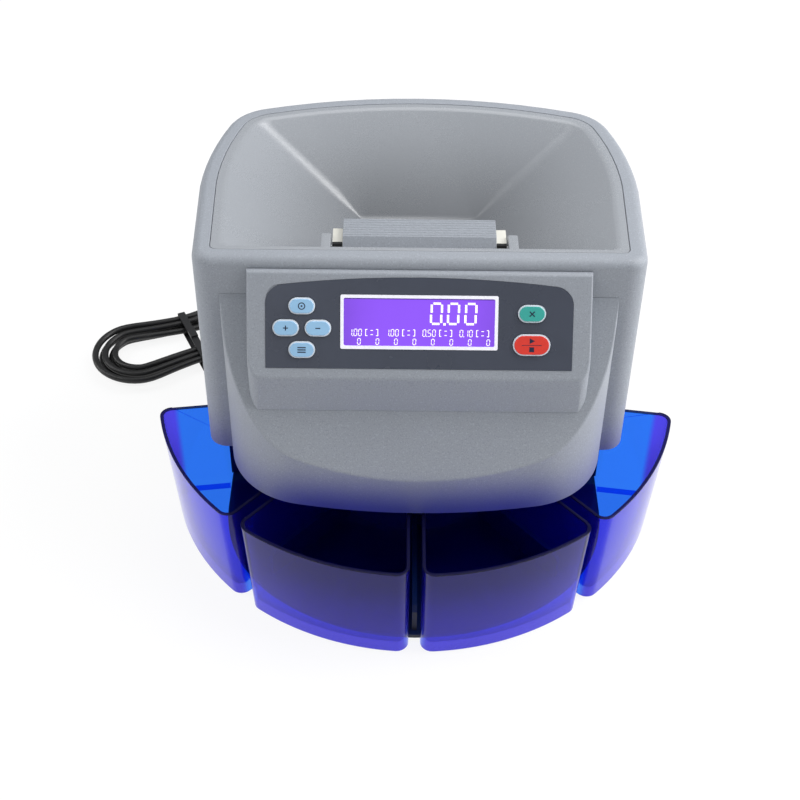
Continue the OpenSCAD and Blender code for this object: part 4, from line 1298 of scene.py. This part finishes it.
@dataclass
class ControlPanel:
    """Film, display, keys and their signs, drawn in the panel's frame."""

    film_top: float = 0.3
    glass_top: float = -0.8
    key_top: float = 2.0
    cap_foot: float = 1.1
    rim_width: float = 0.85
    ink: float = 0.06

    def build(self) -> None:
        """Dresses the panel from the film up."""
        self.film()
        coat(DISPLAY_FRAME, "lcd_frame")
        coat(DISPLAY, "lcd_glass")
        self.digits()
        for key in KEYS:
            self.cap(key)
            self.sign(key)

    def film(self) -> None:
        """Models the film with its two round upper corners."""
        bm = copy_of("panel_overlay")
        shoulders(bm, 0.0, (-BED_DEPTH, self.film_top))
        put_down(bm, "panel_overlay_dressed", FILM, CHASSIS, ["panel_overlay"])

    def cap(self, key: Key) -> None:
        """Models a key: its white rim with flange and stem, and the crowned cap in it.

        Args:
            key: The key.
        """
        rounded(key.name, replace(KEY_RIM, slot=key.finish.slot), key.name, 0.25 * MM)
        bm = bmesh.new()
        outline = stadium(key.half_width - self.rim_width, key.half_height - self.rim_width)
        prism(bm, [(x, y, self.cap_foot) for x, y in outline], (0, 0, self.key_top - self.cap_foot))
        round_edges(bm, 0.4 * MM, 5, lambda a, b: min(a.z, b.z) > (self.key_top - 0.1) * MM)
        bmesh.ops.translate(bm, vec=(key.across * MM, key.up * MM, 0), verts=bm.verts)
        put_down(bm, key.name + "_cap", key.finish, key.name, where=Frame.PANEL, crisp=50.0)

    def sign(self, key: Key) -> None:
        """Prints a key's plain sign on its cap.

        Args:
            key: The key.
        """
        bm = bmesh.new()
        thin, over = self.ink, 0.004
        if key.sign in (Sign.PLUS, Sign.MINUS):
            bar(bm, (0, 0, 0), (3.0, 0.6, thin))
            if key.sign is Sign.PLUS:
                bar(bm, (0, 0, over), (0.6, 3.0, thin))
        elif key.sign is Sign.STACK:
            for level in (-1.4, 0.0, 1.4):
                bar(bm, (0, level, 0), (5.0, 0.7, thin))
        elif key.sign is Sign.CROSS:
            for lift, turn in ((0, 45), (over, -45)):
                bar(bm, (0, 0, lift), (4.2, 0.7, thin), math.radians(turn))
        elif key.sign is Sign.RING:
            radius, sides = 1.9, 16
            for k in range(sides):
                angle = math.tau * k / sides
                place = (radius * math.cos(angle), radius * math.sin(angle), over / 2 * (k % 2))
                bar(bm, place, (0.55, 0.85, thin), angle)
            bar(bm, (0, 0, 0), (1.0, 1.0, thin))
        else:
            bar(bm, (0, 0, 0), (12.0, 0.3, thin))
            triangle = ((-1.3, 0.9), (1.9, 2.6), (-1.3, 4.3))
            prism(bm, [(x, y, -thin / 2) for x, y in triangle], (0, 0, thin))
            bar(bm, (0, -2.6, 0), (2.9, 2.9, thin))
        place = Vector((key.across, key.up, self.key_top + thin / 2))
        bmesh.ops.translate(bm, vec=place * MM, verts=bm.verts)
        put_down(bm, key.name + "_sign", DARK_INK, key.name, where=Frame.PANEL)

    def digits(self) -> None:
        """Lights the display's plain figures: one large row and two small ones."""
        bm = bmesh.new()
        for left in (6.9, 17.2, 27.7):
            self.figure(bm, "0", (left, 34.2), (6.2, 12.3), 1.35)
        self.dash(bm, (15.3, 34.0), (1.5, 1.5))
        first, pitch, stroke = -42.3, 22.4, 0.42
        price_row, count_row, box_row = 26.5, 21.3, 28.5
        for group, price in enumerate(("100", "100", "050", "010")):
            left = first + group * pitch
            for i, mark in enumerate(price):
                back = 0.3 if i == 0 else 0.0
                self.figure(bm, mark, (left + i * 2.75 - back, price_row), (1.75, 4.0), stroke)
            self.dash(bm, (left + 2.2, price_row), (0.5, 0.5))
            middle = left + 13.6
            for side in (-1, 1):
                self.dash(bm, (middle + side * 3.7, box_row), (0.45, 3.8))
                for up in (-1.9, 1.9):
                    self.dash(bm, (middle + side * 3.2, box_row + up), (1.2, 0.45))
            for up in (-1.3, 1.3):
                self.dash(bm, (middle, box_row + up), (1.5, 0.45))
            for spot in (left + 4.9, left + 16.1):
                self.figure(bm, "0", (spot, count_row), (1.75, 3.5), stroke)
        put_down(bm, "display_figures", LIT_SEGMENTS, CHASSIS, where=Frame.PANEL)

    def dash(self, bm: bmesh.types.BMesh, centre: Sequence[float], size: Sequence[float]) -> None:
        """Adds one lit stroke on the display's glass, at a place and of a size in millimetres."""
        bar(bm, (*centre, self.glass_top + self.ink), (*size, self.ink))

    def figure(
        self, bm: bmesh.types.BMesh, mark: str, corner: Sequence[float], size: Sequence[float], stroke: float
    ) -> None:
        """Adds one seven-segment figure.

        Args:
            bm: The shape that it joins.
            mark: The figure.
            corner: Its lower left corner on the panel, in millimetres.
            size: Its width and height, in millimetres.
            stroke: The segments' width, in millimetres.
        """
        lit = {"0": "abcdef", "1": "bc", "5": "acdfg"}[mark]
        w, h = size
        lean = 0.06
        level, upright = (w - stroke * 1.2, stroke), (stroke, h / 2 - stroke * 0.9)
        places = {
            "a": (w / 2, h, level), "g": (w / 2, h / 2, level), "d": (w / 2, 0, level),
            "f": (0, h * 0.75, upright), "b": (w, h * 0.75, upright),
            "e": (0, h * 0.25, upright), "c": (w, h * 0.25, upright),
        }
        for segment in lit:
            x, y, extent = places[segment]
            self.dash(bm, (corner[0] + x + lean * y, corner[1] + y), extent)


def main() -> None:
    """Builds the sub-assemblies in order, and logs each as it is built."""
    logging.basicConfig(level=logging.INFO, format="%(name)s %(message)s")
    for part in (
        Studio(), MainsCord(), Shell(), ThroatGuard(), ControlPanel(), TrayFan(), Base(), SortingWorks(),
        Electrics(),
    ):
        part.build()
        log.info("%s is built", type(part).__name__)


if __name__ == "__main__":
    main()
